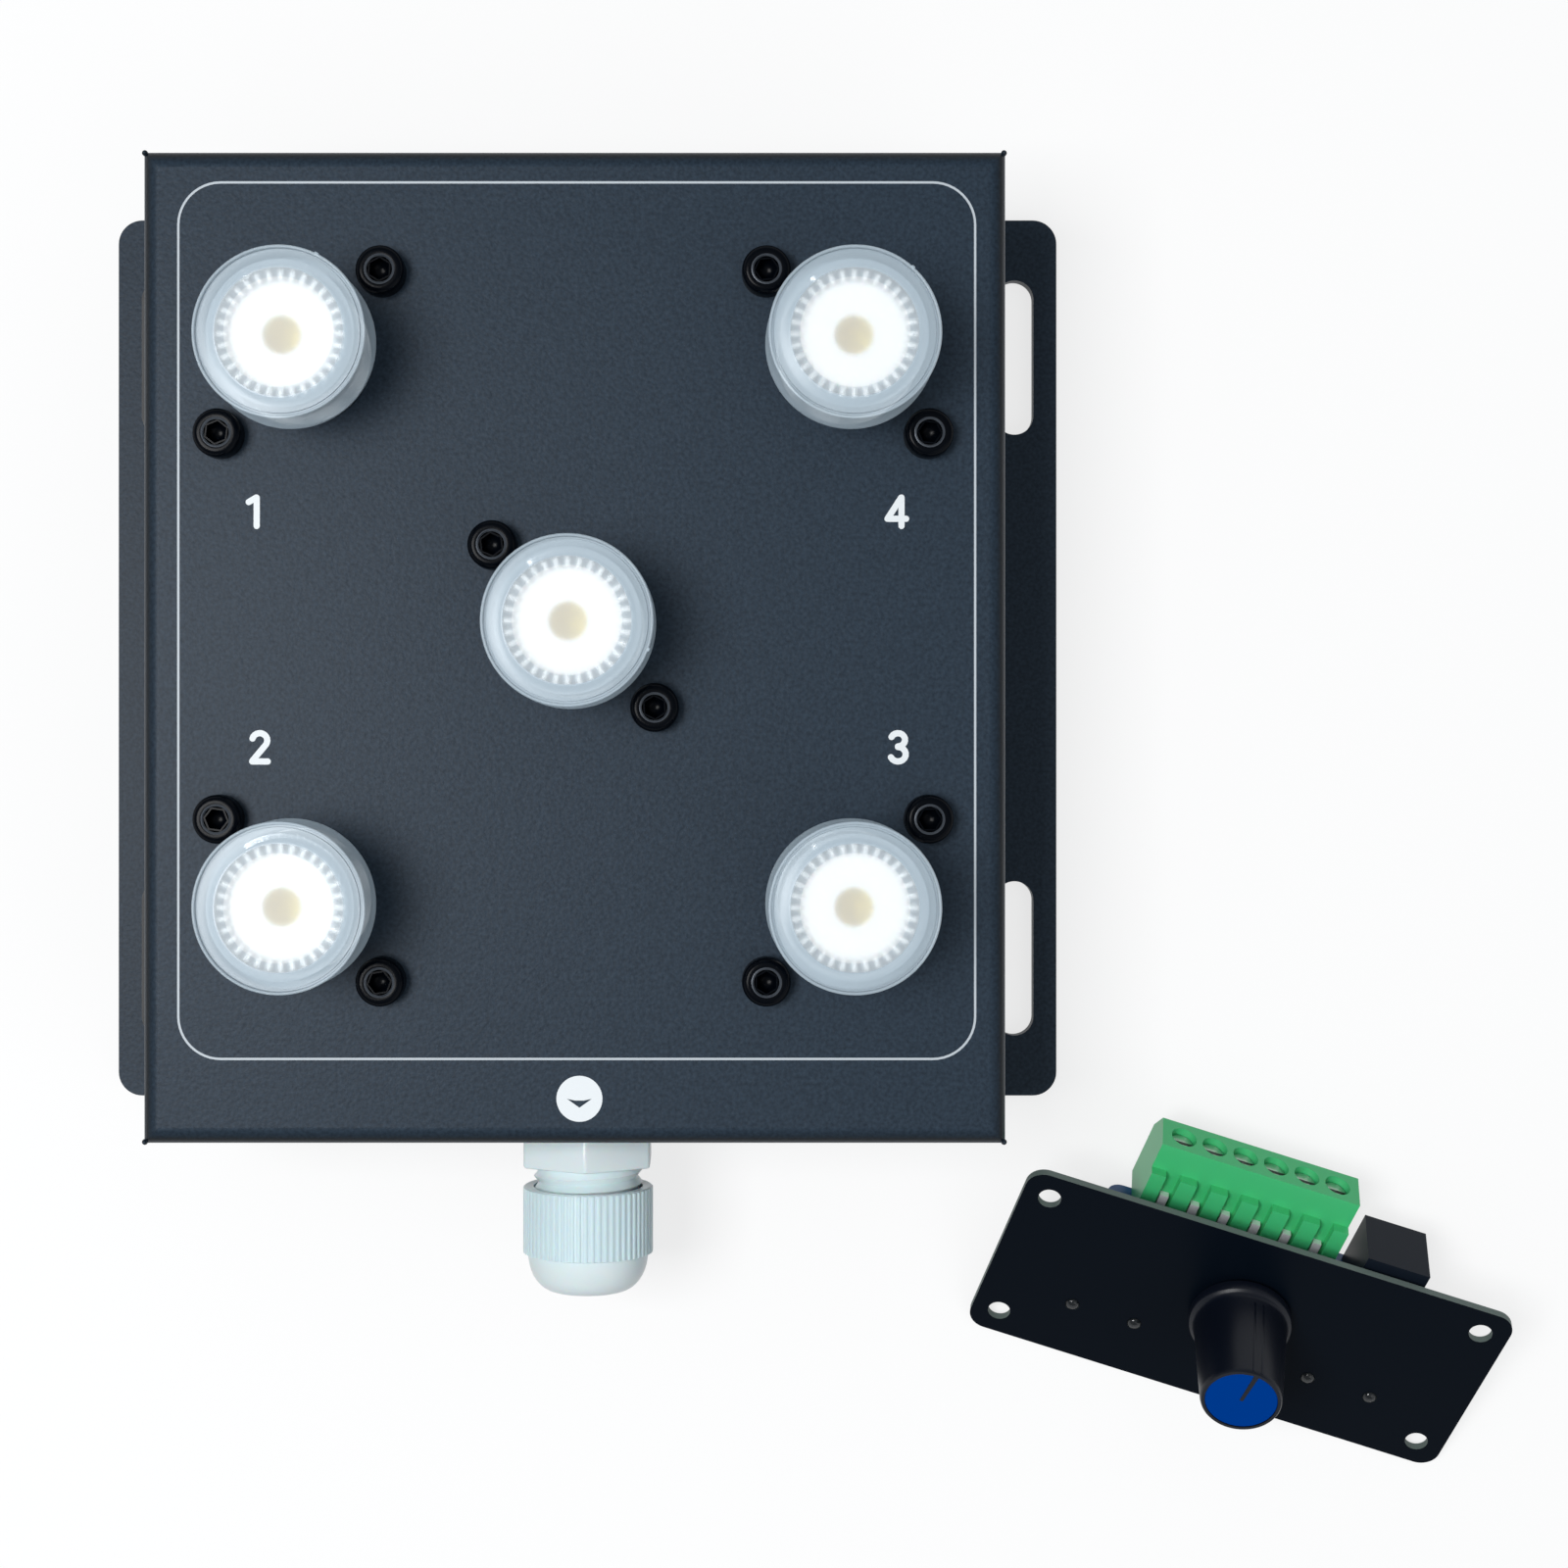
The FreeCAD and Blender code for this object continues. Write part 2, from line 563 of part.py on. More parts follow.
TAB_SCREW_X = "(cover_width / 2 - cover_wall - tab_reach / 2)"
FLANGE_FRONT = "(box_depth - cover_wall)"
BOARD_TOP = "(box_depth - cover_wall - flange_thickness - spacer_length)"
BOARD_FOOT = "(box_depth - cover_wall - flange_thickness - spacer_length - board_thickness)"
POLES = ["(%d.5 - pole_count / 2) * pole_spacing" % step for step in range(round(value("pole_count")))]
BLOCK_BACK = BOARD_SIDE + " - block_edge"
BLADE_X = BLOCK_BACK + " - rib_depth / 2"
RELAY_PINS = (
    ("-relay_pin_side", "-relay_pin_end"),
    ("relay_pin_side", "-relay_pin_end"),
    ("0", "relay_common_pin"),
    ("-relay_pin_side", "relay_pin_end"),
    ("relay_pin_side", "relay_pin_end"),
)


def socket_screws():
    """Middles of the ten screws that hold the sockets."""
    spots = []
    for _, (x, y), sign in SOCKETS:
        spots.append(("%s + flange_hole_offset" % x, "%s + %d * flange_hole_offset" % (y, sign)))
        spots.append(("%s - flange_hole_offset" % x, "%s - %d * flange_hole_offset" % (y, sign)))
    return spots


def tab_screws():
    """Middles of the four screws that hold the cover on the back plate."""
    spots = []
    for side in ("", "-"):
        for end in ("", "-"):
            spots.append((side + TAB_SCREW_X, end + "tab_spacing / 2"))
    return spots


# ---------------------------------------------------------------- box

def back_plate():
    body = new_body("back_plate_body")
    sheet_outline = new_sketch(body, "plate_outline")
    centred(sheet_outline, PLATE_WIDTH, "cover_length - 2 * plate_setback")
    flat = pad(body, sheet_outline, "plate_thickness")
    soften(body, "Fillet", flat, standing, "plate_corner")
    slots = new_sketch(body, "plate_slots")
    for side in ("", "-"):
        for end in ("", "-"):
            long_slot(slots, side + SLOT_X, end + "slot_spacing / 2", "slot_width", "slot_length")
    pocket(body, slots, "plate_thickness", along_normal=True)
    holes = new_sketch(body, "plate_screw_holes")
    for x, y in tab_screws():
        circle(holes, x, y, "screw_hole")
    drilled = pocket(body, holes, "plate_thickness", along_normal=True)
    hole = value("screw_hole")
    soften(body, "Chamfer", drilled,
           lambda edge: edge.Closed and edge.BoundBox.ZMax < 0.001 and abs(edge.Curve.Radius - hole) < 0.001,
           "flat_head_recess - screw_hole")
    keep("back_plate", body)


def front_cover():
    body = new_body("front_cover_body")
    shell = new_sketch(body, "cover_outline", offset="plate_thickness")
    centred(shell, "cover_width", "cover_length")
    solid = pad(body, shell, "box_depth - plate_thickness")
    front = value("box_depth")
    soften(body, "Fillet", solid, lambda edge: edge.BoundBox.ZMin > front - 0.001, "cover_bend")
    inside = new_sketch(body, "cover_inside", offset="plate_thickness")
    centred(inside, "cover_width - 2 * cover_wall", "cover_length - 2 * cover_wall")
    pocket(body, inside, "box_depth - plate_thickness - cover_wall", along_normal=True)
    seams = new_sketch(body, "cover_seams", offset="plate_thickness")
    for side in ("", "-"):
        for end in ("", "-"):
            centred(seams, "seam_gap", "cover_wall", "%s(cover_width / 2 - cover_wall - seam_gap / 2)" % side,
                    "%s(cover_length / 2 - cover_wall / 2)" % end)
    pocket(body, seams, "box_depth - plate_thickness - cover_bend", along_normal=True)
    tabs = new_sketch(body, "cover_tabs", offset="plate_thickness")
    for x, y in tab_screws():
        centred(tabs, "tab_reach", "tab_width", x, y)
    pad(body, tabs, "cover_wall")
    threads = new_sketch(body, "cover_tab_holes", offset="plate_thickness")
    for x, y in tab_screws():
        circle(threads, x, y, "screw_hole")
    pocket(body, threads, "cover_wall", along_normal=True)
    holes = new_sketch(body, "cover_front_holes", offset="box_depth")
    for _, (x, y), _ in SOCKETS:
        circle(holes, x, y, "barrel_radius + barrel_gap")
    for x, y in socket_screws():
        circle(holes, x, y, "screw_hole")
    pocket(body, holes, "cover_wall")
    entry = new_sketch(body, "cover_gland_hole", "XZ_Plane", "cover_length / 2")
    circle(entry, "gland_side", "gland_height", "gland_thread + gland_hole_gap")
    pocket(body, entry, "cover_wall")
    keep("front_cover", body)


def cover_fasteners():
    """Countersunk screws from behind, into nuts pressed on the cover's tabs."""
    blank = turned("flat_screw_blank", [
        ("0", "0"), ("flat_head_radius", "0"), ("thread_radius", "flat_head_radius - thread_radius"),
        ("thread_radius", "cover_screw_length"), ("0", "cover_screw_length")])
    recess = hexagon("flat_screw_hex", "flat_hex_flats", "flat_hex_depth", ("0", "0", "0"))
    screw = cut("flat_screw", blank, recess)
    nut = turned("press_nut", [
        ("thread_radius + snug", "0"), ("press_nut_radius", "0"), ("press_nut_radius", "press_nut_height"),
        ("thread_radius + snug", "press_nut_height")])
    spots = tab_screws()
    keep("cover_screws", group("cover_screws", [
        twin("cover_screw_%d" % step, screw, (x, y, "0")) for step, (x, y) in enumerate(spots)]))
    keep("cover_press_nuts", group("cover_press_nuts", [
        twin("cover_nut_%d" % step, nut, (x, y, "plate_thickness + cover_wall"))
        for step, (x, y) in enumerate(spots)]))


# ---------------------------------------------------------------- sockets and caps

def socket_shell():
    """Socket's metal shell about its own axis; z = 0 is the flange's front face."""
    body = turned("shell_blank", [
        ("barrel_bore", "-seat_depth"), ("barrel_bore", "barrel_length"),
        ("barrel_radius - barrel_chamfer", "barrel_length"),
        ("barrel_radius", "barrel_length - barrel_chamfer"),
        ("barrel_radius", "-flange_thickness"), ("boss_radius", "-flange_thickness"),
        ("boss_radius", "-flange_thickness - boss_length"),
        ("neck_radius", "-flange_thickness - boss_length"), ("neck_radius", "-seat_depth")])
    flange = new_sketch(body, "shell_flange", offset="-flange_thickness")
    centred(flange, "flange_side", "flange_side")
    circle(flange, "0", "0", "(barrel_bore + barrel_radius) / 2")
    pad(body, flange, "flange_thickness")
    holes = new_sketch(body, "shell_flange_holes")
    for side in ("", "-"):
        for end in ("", "-"):
            circle(holes, side + "flange_hole_offset", end + "flange_hole_offset", "screw_hole")
    pocket(body, holes, "flange_thickness")
    notch = new_sketch(body, "shell_notch", offset="barrel_length")
    rectangle(notch, "barrel_bore - notch_width", "-notch_width / 2",
              "barrel_radius + notch_width", "notch_width / 2")
    polar(body, pocket(body, notch, "notch_depth"), "notch_count")
    return body


def socket_insulator():
    face = "barrel_length - mouth_depth"
    lip = face + " - contact_recess + snug"
    back = "-flange_thickness - boss_length - neck_proud"
    return turned("insulator_blank", [
        ("contact_radius + snug", back), ("neck_radius - snug", back), ("neck_radius - snug", "-seat_depth"),
        ("barrel_bore - snug", "-seat_depth"), ("barrel_bore - snug", face),
        ("contact_bore + contact_lip_gap", face), ("contact_bore + contact_lip_gap", lip),
        ("contact_radius + snug", lip)])


def socket_contact():
    """Centre contact with a slit mouth in front and a solder tail through the relay board."""
    face = "barrel_length - mouth_depth - contact_recess"
    heel = "-flange_thickness - boss_length - neck_proud"
    end = "-flange_thickness - spacer_length - board_thickness - tail_proud"
    blank = turned("contact_blank", [
        ("0", end), ("tail_radius", end), ("tail_radius", heel), ("contact_radius", heel),
        ("contact_radius", face), ("contact_bore", face), ("contact_bore", face + " - contact_bore_depth"),
        ("0", face + " - contact_bore_depth")])
    floor = face + " - contact_bore_depth + contact_slit_root"
    across = block("contact_slit_across", ("4 * contact_radius", "contact_slit", "contact_bore_depth"),
                   ("-2 * contact_radius", "-contact_slit / 2", floor))
    along = block("contact_slit_along", ("contact_slit", "4 * contact_radius", "contact_bore_depth"),
                  ("-contact_slit / 2", "-2 * contact_radius", floor))
    return cut("contact_slotted", blank, fuse("contact_slits", across, along))


def dust_cap():
    """Push-on cap about the socket's axis; z = 0 is the cap's open end."""
    inner = "barrel_radius + cap_gap"
    outer = "barrel_radius + cap_gap + cap_wall"
    body = turned("dust_cap_body", [
        ("0", "cap_height - cap_top"), (inner, "cap_height - cap_top"), (inner, "0"),
        (outer + " + cap_bead", "0"), (outer + " + cap_bead", "cap_bead_height"),
        (outer, "cap_bead_height + cap_bead"), (outer, "cap_height"), ("0", "cap_height")])
    top = value("cap_height")
    soften(body, "Fillet", body.Tip,
           lambda edge: edge.BoundBox.ZMin > top - 0.001 and edge.Closed, "cap_edge")
    return body


def sockets():
    """Five sockets, held by cap screws that also carry the relay board on spacers."""
    shell = socket_shell()
    insulator = socket_insulator()
    contact = socket_contact()
    cap = dust_cap()
    insulators = []
    contacts = []
    cap_foot = FLANGE_FRONT + " + barrel_length + cap_air + cap_top - cap_height"
    for name, (x, y), _ in SOCKETS:
        spot = (x, y, FLANGE_FRONT)
        keep("socket_shell_" + name, twin("socket_shell_" + name, shell, spot))
        keep("dust_cap_" + name, twin("dust_cap_" + name, cap, (x, y, cap_foot)))
        insulators.append(twin("insulator_" + name, insulator, spot))
        contacts.append(twin("contact_" + name, contact, spot))
    keep("socket_insulators", group("socket_insulators", insulators))
    keep("socket_contacts", group("socket_contacts", contacts))


def socket_fasteners():
    blank = turned("cap_screw_blank", [
        ("0", "-cap_screw_length"), ("thread_radius", "-cap_screw_length"), ("thread_radius", "0"),
        ("cap_head_radius", "0"), ("cap_head_radius", "cap_head_height"), ("0", "cap_head_height")])
    rim = value("cap_head_height")
    soften(blank, "Fillet", blank.Tip,
           lambda edge: edge.BoundBox.ZMin > rim - 0.001 and edge.Closed, "cap_head_edge")
    recess = hexagon("cap_screw_hex", "cap_hex_flats", "cap_hex_depth",
                     ("0", "0", "cap_head_height - cap_hex_depth"))
    screw = cut("cap_screw", blank, recess)
    nut = cut("hex_nut", hexagon("hex_nut_blank", "hex_nut_flats", "hex_nut_height", ("0", "0", "0")),
              rod("hex_nut_thread", "thread_radius + snug", "hex_nut_height", ("0", "0", "0")))
    spacer = turned("spacer", [
        ("screw_hole", "0"), ("spacer_radius", "0"), ("spacer_radius", "spacer_length"),
        ("screw_hole", "spacer_length")])
    rows = (("socket_screws", screw, "box_depth"), ("socket_nuts", nut, BOARD_FOOT + " - hex_nut_height"),
            ("board_spacers", spacer, BOARD_TOP))
    for label, piece, level in rows:
        keep(label, group(label, [
            twin("%s_%d" % (label, step), piece, (x, y, level))
            for step, (x, y) in enumerate(socket_screws())]))


# ---------------------------------------------------------------- relay board

def relay_board():
    body = new_body("relay_board_body")
    area = new_sketch(body, "relay_board_outline", offset=BOARD_FOOT)
    rectangle(area, "-" + BOARD_SIDE, BOARD_END, BOARD_SIDE, BOARD_HEAD)
    pad(body, area, "board_thickness")
    holes = new_sketch(body, "relay_board_holes", offset=BOARD_FOOT)
    for _, (x, y), _ in SOCKETS:
        circle(holes, x, y, "tail_hole")
    for x, y in socket_screws():
        circle(holes, x, y, "screw_hole")
    for _, (x, y) in RELAYS:
        for pin_x, pin_y in RELAY_PINS:
            circle(holes, "%s + %s" % (x, pin_x), "%s + %s" % (y, pin_y), "pin_hole")
    for x, y in DIODES:
        circle(holes, x, "%s - lead_span / 2" % y, "pin_hole")
        circle(holes, x, "%s + lead_span / 2" % y, "pin_hole")
    for spot in POLES:
        circle(holes, BLADE_X, "block_rise + %s" % spot, "blade_width / 2 + blade_gap")
    pocket(body, holes, "board_thickness", along_normal=True)
    keep("relay_board", body)


def diodes():
    """Diodes lying on the relay board, their leads bent down through it and cut short above the relays."""
    parts = []
    level = BOARD_TOP + " + relay_standoff + diode_radius"
    for step, (x, y) in enumerate(DIODES):
        name = "diode_%d" % step
        case = rod(name + "_case", "diode_radius", "diode_length",
                   (x, "%s - diode_length / 2" % y, level), "+y")
        lead = rod(name + "_lead", "lead_radius", "lead_span", (x, "%s - lead_span / 2" % y, level), "+y")
        foot = BOARD_FOOT + " - relay_standoff / 2"
        legs = [rod("%s_leg_%d" % (name, end), "pin_radius", "%s + pin_radius - (%s)" % (level, foot),
                    (x, "%s + %d * lead_span / 2" % (y, side), foot))
                for end, side in enumerate((-1, 1))]
        parts.append(fuse(name, case, lead, *legs))
    keep("suppressor_diodes", group("suppressor_diodes", parts))


def terminal_block():
    """Screw terminal: X along it, Y from the ribbed back to the wire entries, Z up from the board."""
    body = new_body("terminal_body")
    side = new_sketch(body, "terminal_side", "YZ_Plane")
    outline(side, [
        ("0", "0"), ("block_depth", "0"), ("block_depth", "shoulder_height"),
        ("rib_depth + block_top", "block_height"), ("rib_depth", "block_height"),
        ("rib_depth", "rib_height"), ("0", "rib_height")])
    pad(body, side, "pole_count * pole_spacing + 2 * block_end", both_ways=True)
    recesses = new_sketch(body, "terminal_recesses")
    for x in POLES:
        centred(recesses, "rib_recess", "rib_depth", x, "rib_depth / 2")
    pocket(body, recesses, "rib_height", along_normal=True)
    wells = new_sketch(body, "terminal_wells", offset="block_height")
    for x in POLES:
        circle(wells, x, "rib_depth + block_top / 2", "well_radius")
    pocket(body, wells, "block_height - entry_floor - entry_height")
    entries = new_sketch(body, "terminal_entries", "XZ_Plane", "-block_depth")
    for x in POLES:
        centred(entries, "entry_width", "entry_height", x, "entry_floor + entry_height / 2")
    pocket(body, entries, "entry_depth", along_normal=True)
    head_top = "block_height - clamp_head_drop"
    blank = turned("clamp_screw_blank", [
        ("0", head_top + " - clamp_length"), ("clamp_shank_radius", head_top + " - clamp_length"),
        ("clamp_shank_radius", head_top + " - clamp_head_height"),
        ("clamp_head_radius", head_top + " - clamp_head_height"), ("clamp_head_radius", head_top),
        ("0", head_top)])
    slot = block("clamp_screw_slot", ("2 * well_radius", "clamp_slot", "clamp_head_height / 2"),
                 ("-well_radius", "-clamp_slot / 2", head_top + " - clamp_head_height / 2"))
    screw = cut("clamp_screw", blank, slot)
    screws = [twin("clamp_screw_%d" % step, screw, (x, "rib_depth + block_top / 2", "0"))
              for step, x in enumerate(POLES)]
    tail = "board_thickness + pin_proud"
    blades = []
    for step, x in enumerate(POLES):
        side = x + " - blade_width / 2"
        front = "(rib_depth - blade_wall) / 2"
        upright = block("terminal_upright_%d" % step, ("blade_width", "blade_wall", "blade_height + " + tail),
                        (side, front, "-(%s)" % tail))
        bend_depth = "(rib_depth + blade_wall) / 2 - snug"
        bend = block("terminal_bend_%d" % step, ("blade_width", bend_depth, "blade_wall"),
                     (side, front, "blade_height - blade_wall"))
        blades.append(fuse("terminal_blade_%d" % step, upright, bend))
    return body, group("clamp_screws", screws), group("terminal_blades", blades)


def board_terminal(pieces):
    """The relay board's terminal block, hanging under it with its wire entries towards the box's middle."""
    turn = Rotation(Vector(0, 0, 1), 90) * Rotation(Vector(0, 1, 0), 180)
    spot = (BLOCK_BACK, "block_rise", BOARD_FOOT)
    labels = ("board_terminal", "board_terminal_screws", "board_terminal_pins")
    for label, piece in zip(labels, pieces):
        keep(label, twin(label, piece, spot, turn))


# ---------------------------------------------------------------- relays

def relay_parts():
    """One relay about its own middle; z = 0 is the board's underside and the relay hangs below it."""
    base_foot = "-relay_standoff - base_height"
    half_width = "relay_width / 2"
    half_length = "relay_length / 2"
    case_foot = "-relay_standoff - relay_height"
    outside = block("relay_case_outside", ("relay_width", "relay_length", "relay_height"),
                    ("-" + half_width, "-" + half_length, case_foot))
    inside = block("relay_case_inside",
                   ("relay_width - 2 * relay_wall", "relay_length - 2 * relay_wall",
                    "relay_height - relay_wall"),
                   ("-relay_width / 2 + relay_wall", "-relay_length / 2 + relay_wall",
                    case_foot + " + relay_wall"))
    case = cut("relay_case", outside, inside)

    base = block("relay_base_plate",
                 ("relay_width - 2 * relay_wall - 2 * snug", "relay_length - 2 * relay_wall - 2 * snug",
                  "base_height"),
                 ("-relay_width / 2 + relay_wall + snug", "-relay_length / 2 + relay_wall + snug",
                  base_foot))
    pins = [rod("relay_pin_%d" % step, "pin_radius", "relay_standoff + board_thickness + pin_proud",
                (x, y, "-relay_standoff")) for step, (x, y) in enumerate(RELAY_PINS)]

    coil_y = "-coil_shift"
    foot = base_foot + " - yoke_foot"
    bobbin_top = foot
    winding_top = foot + " - bobbin_end"
    winding_foot = winding_top + " - coil_length"
    bobbin_foot = winding_foot + " - bobbin_end"
    pole_face = bobbin_foot + " - pole_height"
    plate_top = pole_face + " - air_gap"
    rivet_level = base_foot + " - 3 * rivet_radius"

    yoke = fuse(
        "relay_iron",
        block("relay_yoke_foot",
              ("yoke_width", "coil_shift + core_radius * 2 + yoke_shift + yoke_wall", "yoke_foot"),
              ("-yoke_width / 2", "-coil_shift - core_radius * 2", foot)),
        block("relay_yoke_leg",
              ("yoke_width", "yoke_wall", "-(%s) - armature_play + (%s)" % (plate_top, base_foot)),
              ("-yoke_width / 2", "yoke_shift", plate_top + " + armature_play")),
        rod("relay_core", "core_radius", "-(%s) + (%s)" % (pole_face, base_foot), ("0", coil_y, pole_face)),
        rod("relay_pole", "pole_radius", "pole_height - snug", ("0", coil_y, pole_face)))
    tube = "core_radius + snug"
    tube_outside = "core_radius + snug + bobbin_wall"
    bobbin_blank = fuse(
        "relay_bobbin_blank",
        block("relay_bobbin_upper", ("bobbin_side", "bobbin_side", "bobbin_end"),
              ("-bobbin_side / 2", "-coil_shift - bobbin_side / 2", bobbin_top + " - bobbin_end")),
        block("relay_bobbin_lower", ("bobbin_side", "bobbin_side", "bobbin_end"),
              ("-bobbin_side / 2", "-coil_shift - bobbin_side / 2", bobbin_foot)),
        rod("relay_bobbin_tube", tube_outside, "coil_length + bobbin_end", ("0", coil_y, bobbin_foot)))
    bobbin = cut("relay_bobbin", bobbin_blank,
                 rod("relay_bobbin_bore", tube, "coil_length + 2 * bobbin_end", ("0", coil_y, bobbin_foot)))
    winding = cut("relay_winding",
                  rod("relay_winding_blank", "coil_radius", "coil_length", ("0", coil_y, winding_foot)),
                  rod("relay_winding_bore", tube_outside + " + snug", "coil_length",
                      ("0", coil_y, winding_foot)))
    magnet = group("relay_magnet", [yoke, bobbin, winding])

    blade_foot = rivet_level + " - rivet_radius"
    blade_height = "(%s) - (%s)" % (base_foot, blade_foot)
    resting_rivet = "arm_shift - armature_play - 2 * contact_height"
    working_rivet = "arm_shift + arm_wall + contact_height + contact_travel"
    resting = fuse(
        "relay_resting_contact",
        block("relay_resting_blade", ("arm_width", "arm_wall", blade_height),
              ("-arm_width / 2", resting_rivet + " - arm_wall", blade_foot)),
        rod("relay_resting_rivet", "rivet_radius", "contact_height", ("0", resting_rivet, rivet_level), "+y"))
    working = fuse(
        "relay_working_contact",
        block("relay_working_blade", ("arm_width", "arm_wall", blade_height),
              ("-arm_width / 2", working_rivet + " + contact_height", blade_foot)),
        rod("relay_working_rivet", "rivet_radius", "contact_height", ("0", working_rivet, rivet_level), "+y"))
    foot_group = group("relay_base", [base, resting, working] + pins)

    arm_foot = plate_top + " - armature_wall"
    armature = fuse(
        "relay_armature",
        block("relay_armature_plate",
              ("yoke_width", "coil_shift + pole_radius + arm_shift + arm_wall", "armature_wall"),
              ("-yoke_width / 2", "-coil_shift - pole_radius", arm_foot)),
        block("relay_arm", ("arm_width", "arm_wall", "(%s) - (%s) + rivet_radius" % (rivet_level, arm_foot)),
              ("-arm_width / 2", "arm_shift", arm_foot)),
        rod("relay_moving_rivet", "rivet_radius", "2 * contact_height + arm_wall",
            ("0", "arm_shift - contact_height", rivet_level), "+y"))
    return (("relay_case", case), ("relay_base", foot_group), ("relay_magnet", magnet),
            ("relay_armature", armature))


def relays():
    for label, piece in relay_parts():
        for number, (x, y) in RELAYS:
            name = "%s_%s" % (label, number)
            keep(name, twin(name, piece, (x, y, BOARD_FOOT)))


# ---------------------------------------------------------------- cable gland

def gland():
    """Cable gland about its own axis; z = 0 is the cover's outer wall and z points away from the box."""
    hex_foot = "gasket_height"
    hex_top = "gasket_height + gland_hex_height"
    tail_end = "gasket_height - gland_tail"
    gasket = turned("gasket", [
        ("gland_thread + gland_hole_gap", "0"), ("gasket_radius", "0"), ("gasket_radius", "gasket_height"),
        ("gland_thread + gland_hole_gap", "gasket_height")])
    sleeve = turned("gland_sleeve", [
        ("gland_bore", tail_end), ("gland_thread", tail_end), ("gland_thread", hex_top),
        ("gland_neck", hex_top), ("gland_neck", "gland_neck_top"), ("claw_bore", "gland_neck_top"),
        ("claw_bore", "claw_seat"), ("gland_bore", "claw_seat")])
    collar = cut("gland_collar",
                 hexagon("gland_hex", "gland_flats", "gland_hex_height", ("0", "0", hex_foot)),
                 rod("gland_hex_bore", "(gland_thread + claw_bore) / 2", "gland_hex_height",
                     ("0", "0", hex_foot)))
    body = fuse("gland_casting", sleeve, collar)
    locknut_spot = ("0", "0", "-cover_wall - locknut_height")
    locknut = cut("locknut",
                  hexagon("locknut_blank", "locknut_flats", "locknut_height", locknut_spot),
                  rod("locknut_thread", "gland_thread + snug", "locknut_height", locknut_spot))

    claw_outside = "claw_bore - claw_gap"
    claw_inside = "claw_bore - claw_gap - claw_wall"
    claw_ring = turned("claw_ring", [
        (claw_inside, "claw_start"), (claw_outside, "claw_start"), (claw_outside, "claw_start + claw_length"),
        (claw_inside, "claw_start + claw_length")])
    slit = new_sketch(claw_ring, "claw_slit_outline", offset="claw_start")
    rectangle(slit, "claw_bore - 2 * claw_wall", "-claw_slit / 2", "claw_bore + claw_wall", "claw_slit / 2")
    polar(claw_ring, pocket(claw_ring, slit, "claw_length / 2", along_normal=True), "claw_fingers")
    seal = turned("seal", [
        ("seal_bore", "claw_start"), (claw_inside + " - snug", "claw_start"),
        (claw_inside + " - snug", "claw_start + seal_length"), ("seal_bore", "claw_start + seal_length")])

    shoulder = "nut_start + nut_inside"
    ribbed_end = "nut_start + nut_ribbed"
    dome = [("nut_face + (nut_dome - nut_face) * cos(%d)" % angle,
             ribbed_end + " + (nut_length - nut_ribbed) * sin(%d)" % angle)
            for angle in (0, 18, 36, 54, 72, 90)]
    nut = turned("dome_nut", [
        ("gland_neck + nut_gap", "nut_start"), ("nut_radius", "nut_start"), ("nut_radius", ribbed_end),
        *dome, ("nut_mouth", "nut_start + nut_length"), ("nut_mouth", shoulder),
        ("gland_neck + nut_gap", shoulder)])
    groove = new_sketch(nut, "nut_groove", offset="nut_start")
    circle(groove, "nut_radius + groove_radius / 3", "0", "groove_radius")
    polar(nut, pocket(nut, groove, "nut_ribbed", along_normal=True), "rib_count")

    spot = ("gland_side", "-cover_length / 2", "gland_height")
    rows = (("gland_gasket", gasket), ("gland_body", body), ("gland_locknut", locknut),
            ("gland_claw", claw_ring), ("gland_seal", seal), ("gland_nut", nut))
    for label, piece in rows:
        keep(label, twin(label, piece, spot, ALONG["-y"]))


# ---------------------------------------------------------------- control unit

TILT = "atan((block_setback + block_depth) / deck_level)"
UNIT = "placement(vector(unit_side; -unit_drop; 0); rotationz(-unit_yaw) * rotationx(%s))" % TILT
SWITCH_Y = "(deck_level - board_thickness - switch_drop - switch_side / 2)"
LAMPS = ("-lamp_far", "-lamp_near", "lamp_near", "lamp_far")
SWITCH_PINS = ["%d * switch_pin_spacing" % step for step in (-2, -1, 0, 1, 2)]
JACK_X = "(jack_left + jack_width / 2)"


def keep_in_unit(label, piece):
    """Name a sub-part of the control unit and stand it in the unit's place."""
    thing = group(label, [piece])
    thing.setExpression("Placement", link(UNIT))
    keep(label, thing)


def control_panel():
    body = new_body("control_panel_body")
    area = new_sketch(body, "panel_outline")
    centred(area, "panel_width", "panel_height", "0", "panel_height / 2")
    flat = pad(body, area, "panel_thickness")
    soften(body, "Fillet", flat, standing, "panel_corner")
    holes = new_sketch(body, "panel_holes")
    for side in ("", "-"):
        for end in ("+", "-"):
            circle(holes, side + "panel_hole_width / 2",
                   "panel_height / 2 %s panel_hole_height / 2" % end, "panel_hole")
    for x in LAMPS:
        circle(holes, x, "lamp_level", "lamp_radius + lamp_gap")
    circle(holes, "0", SWITCH_Y, "bushing_radius + bushing_gap")
    pocket(body, holes, "panel_thickness", along_normal=True)
    keep_in_unit("control_panel", body)


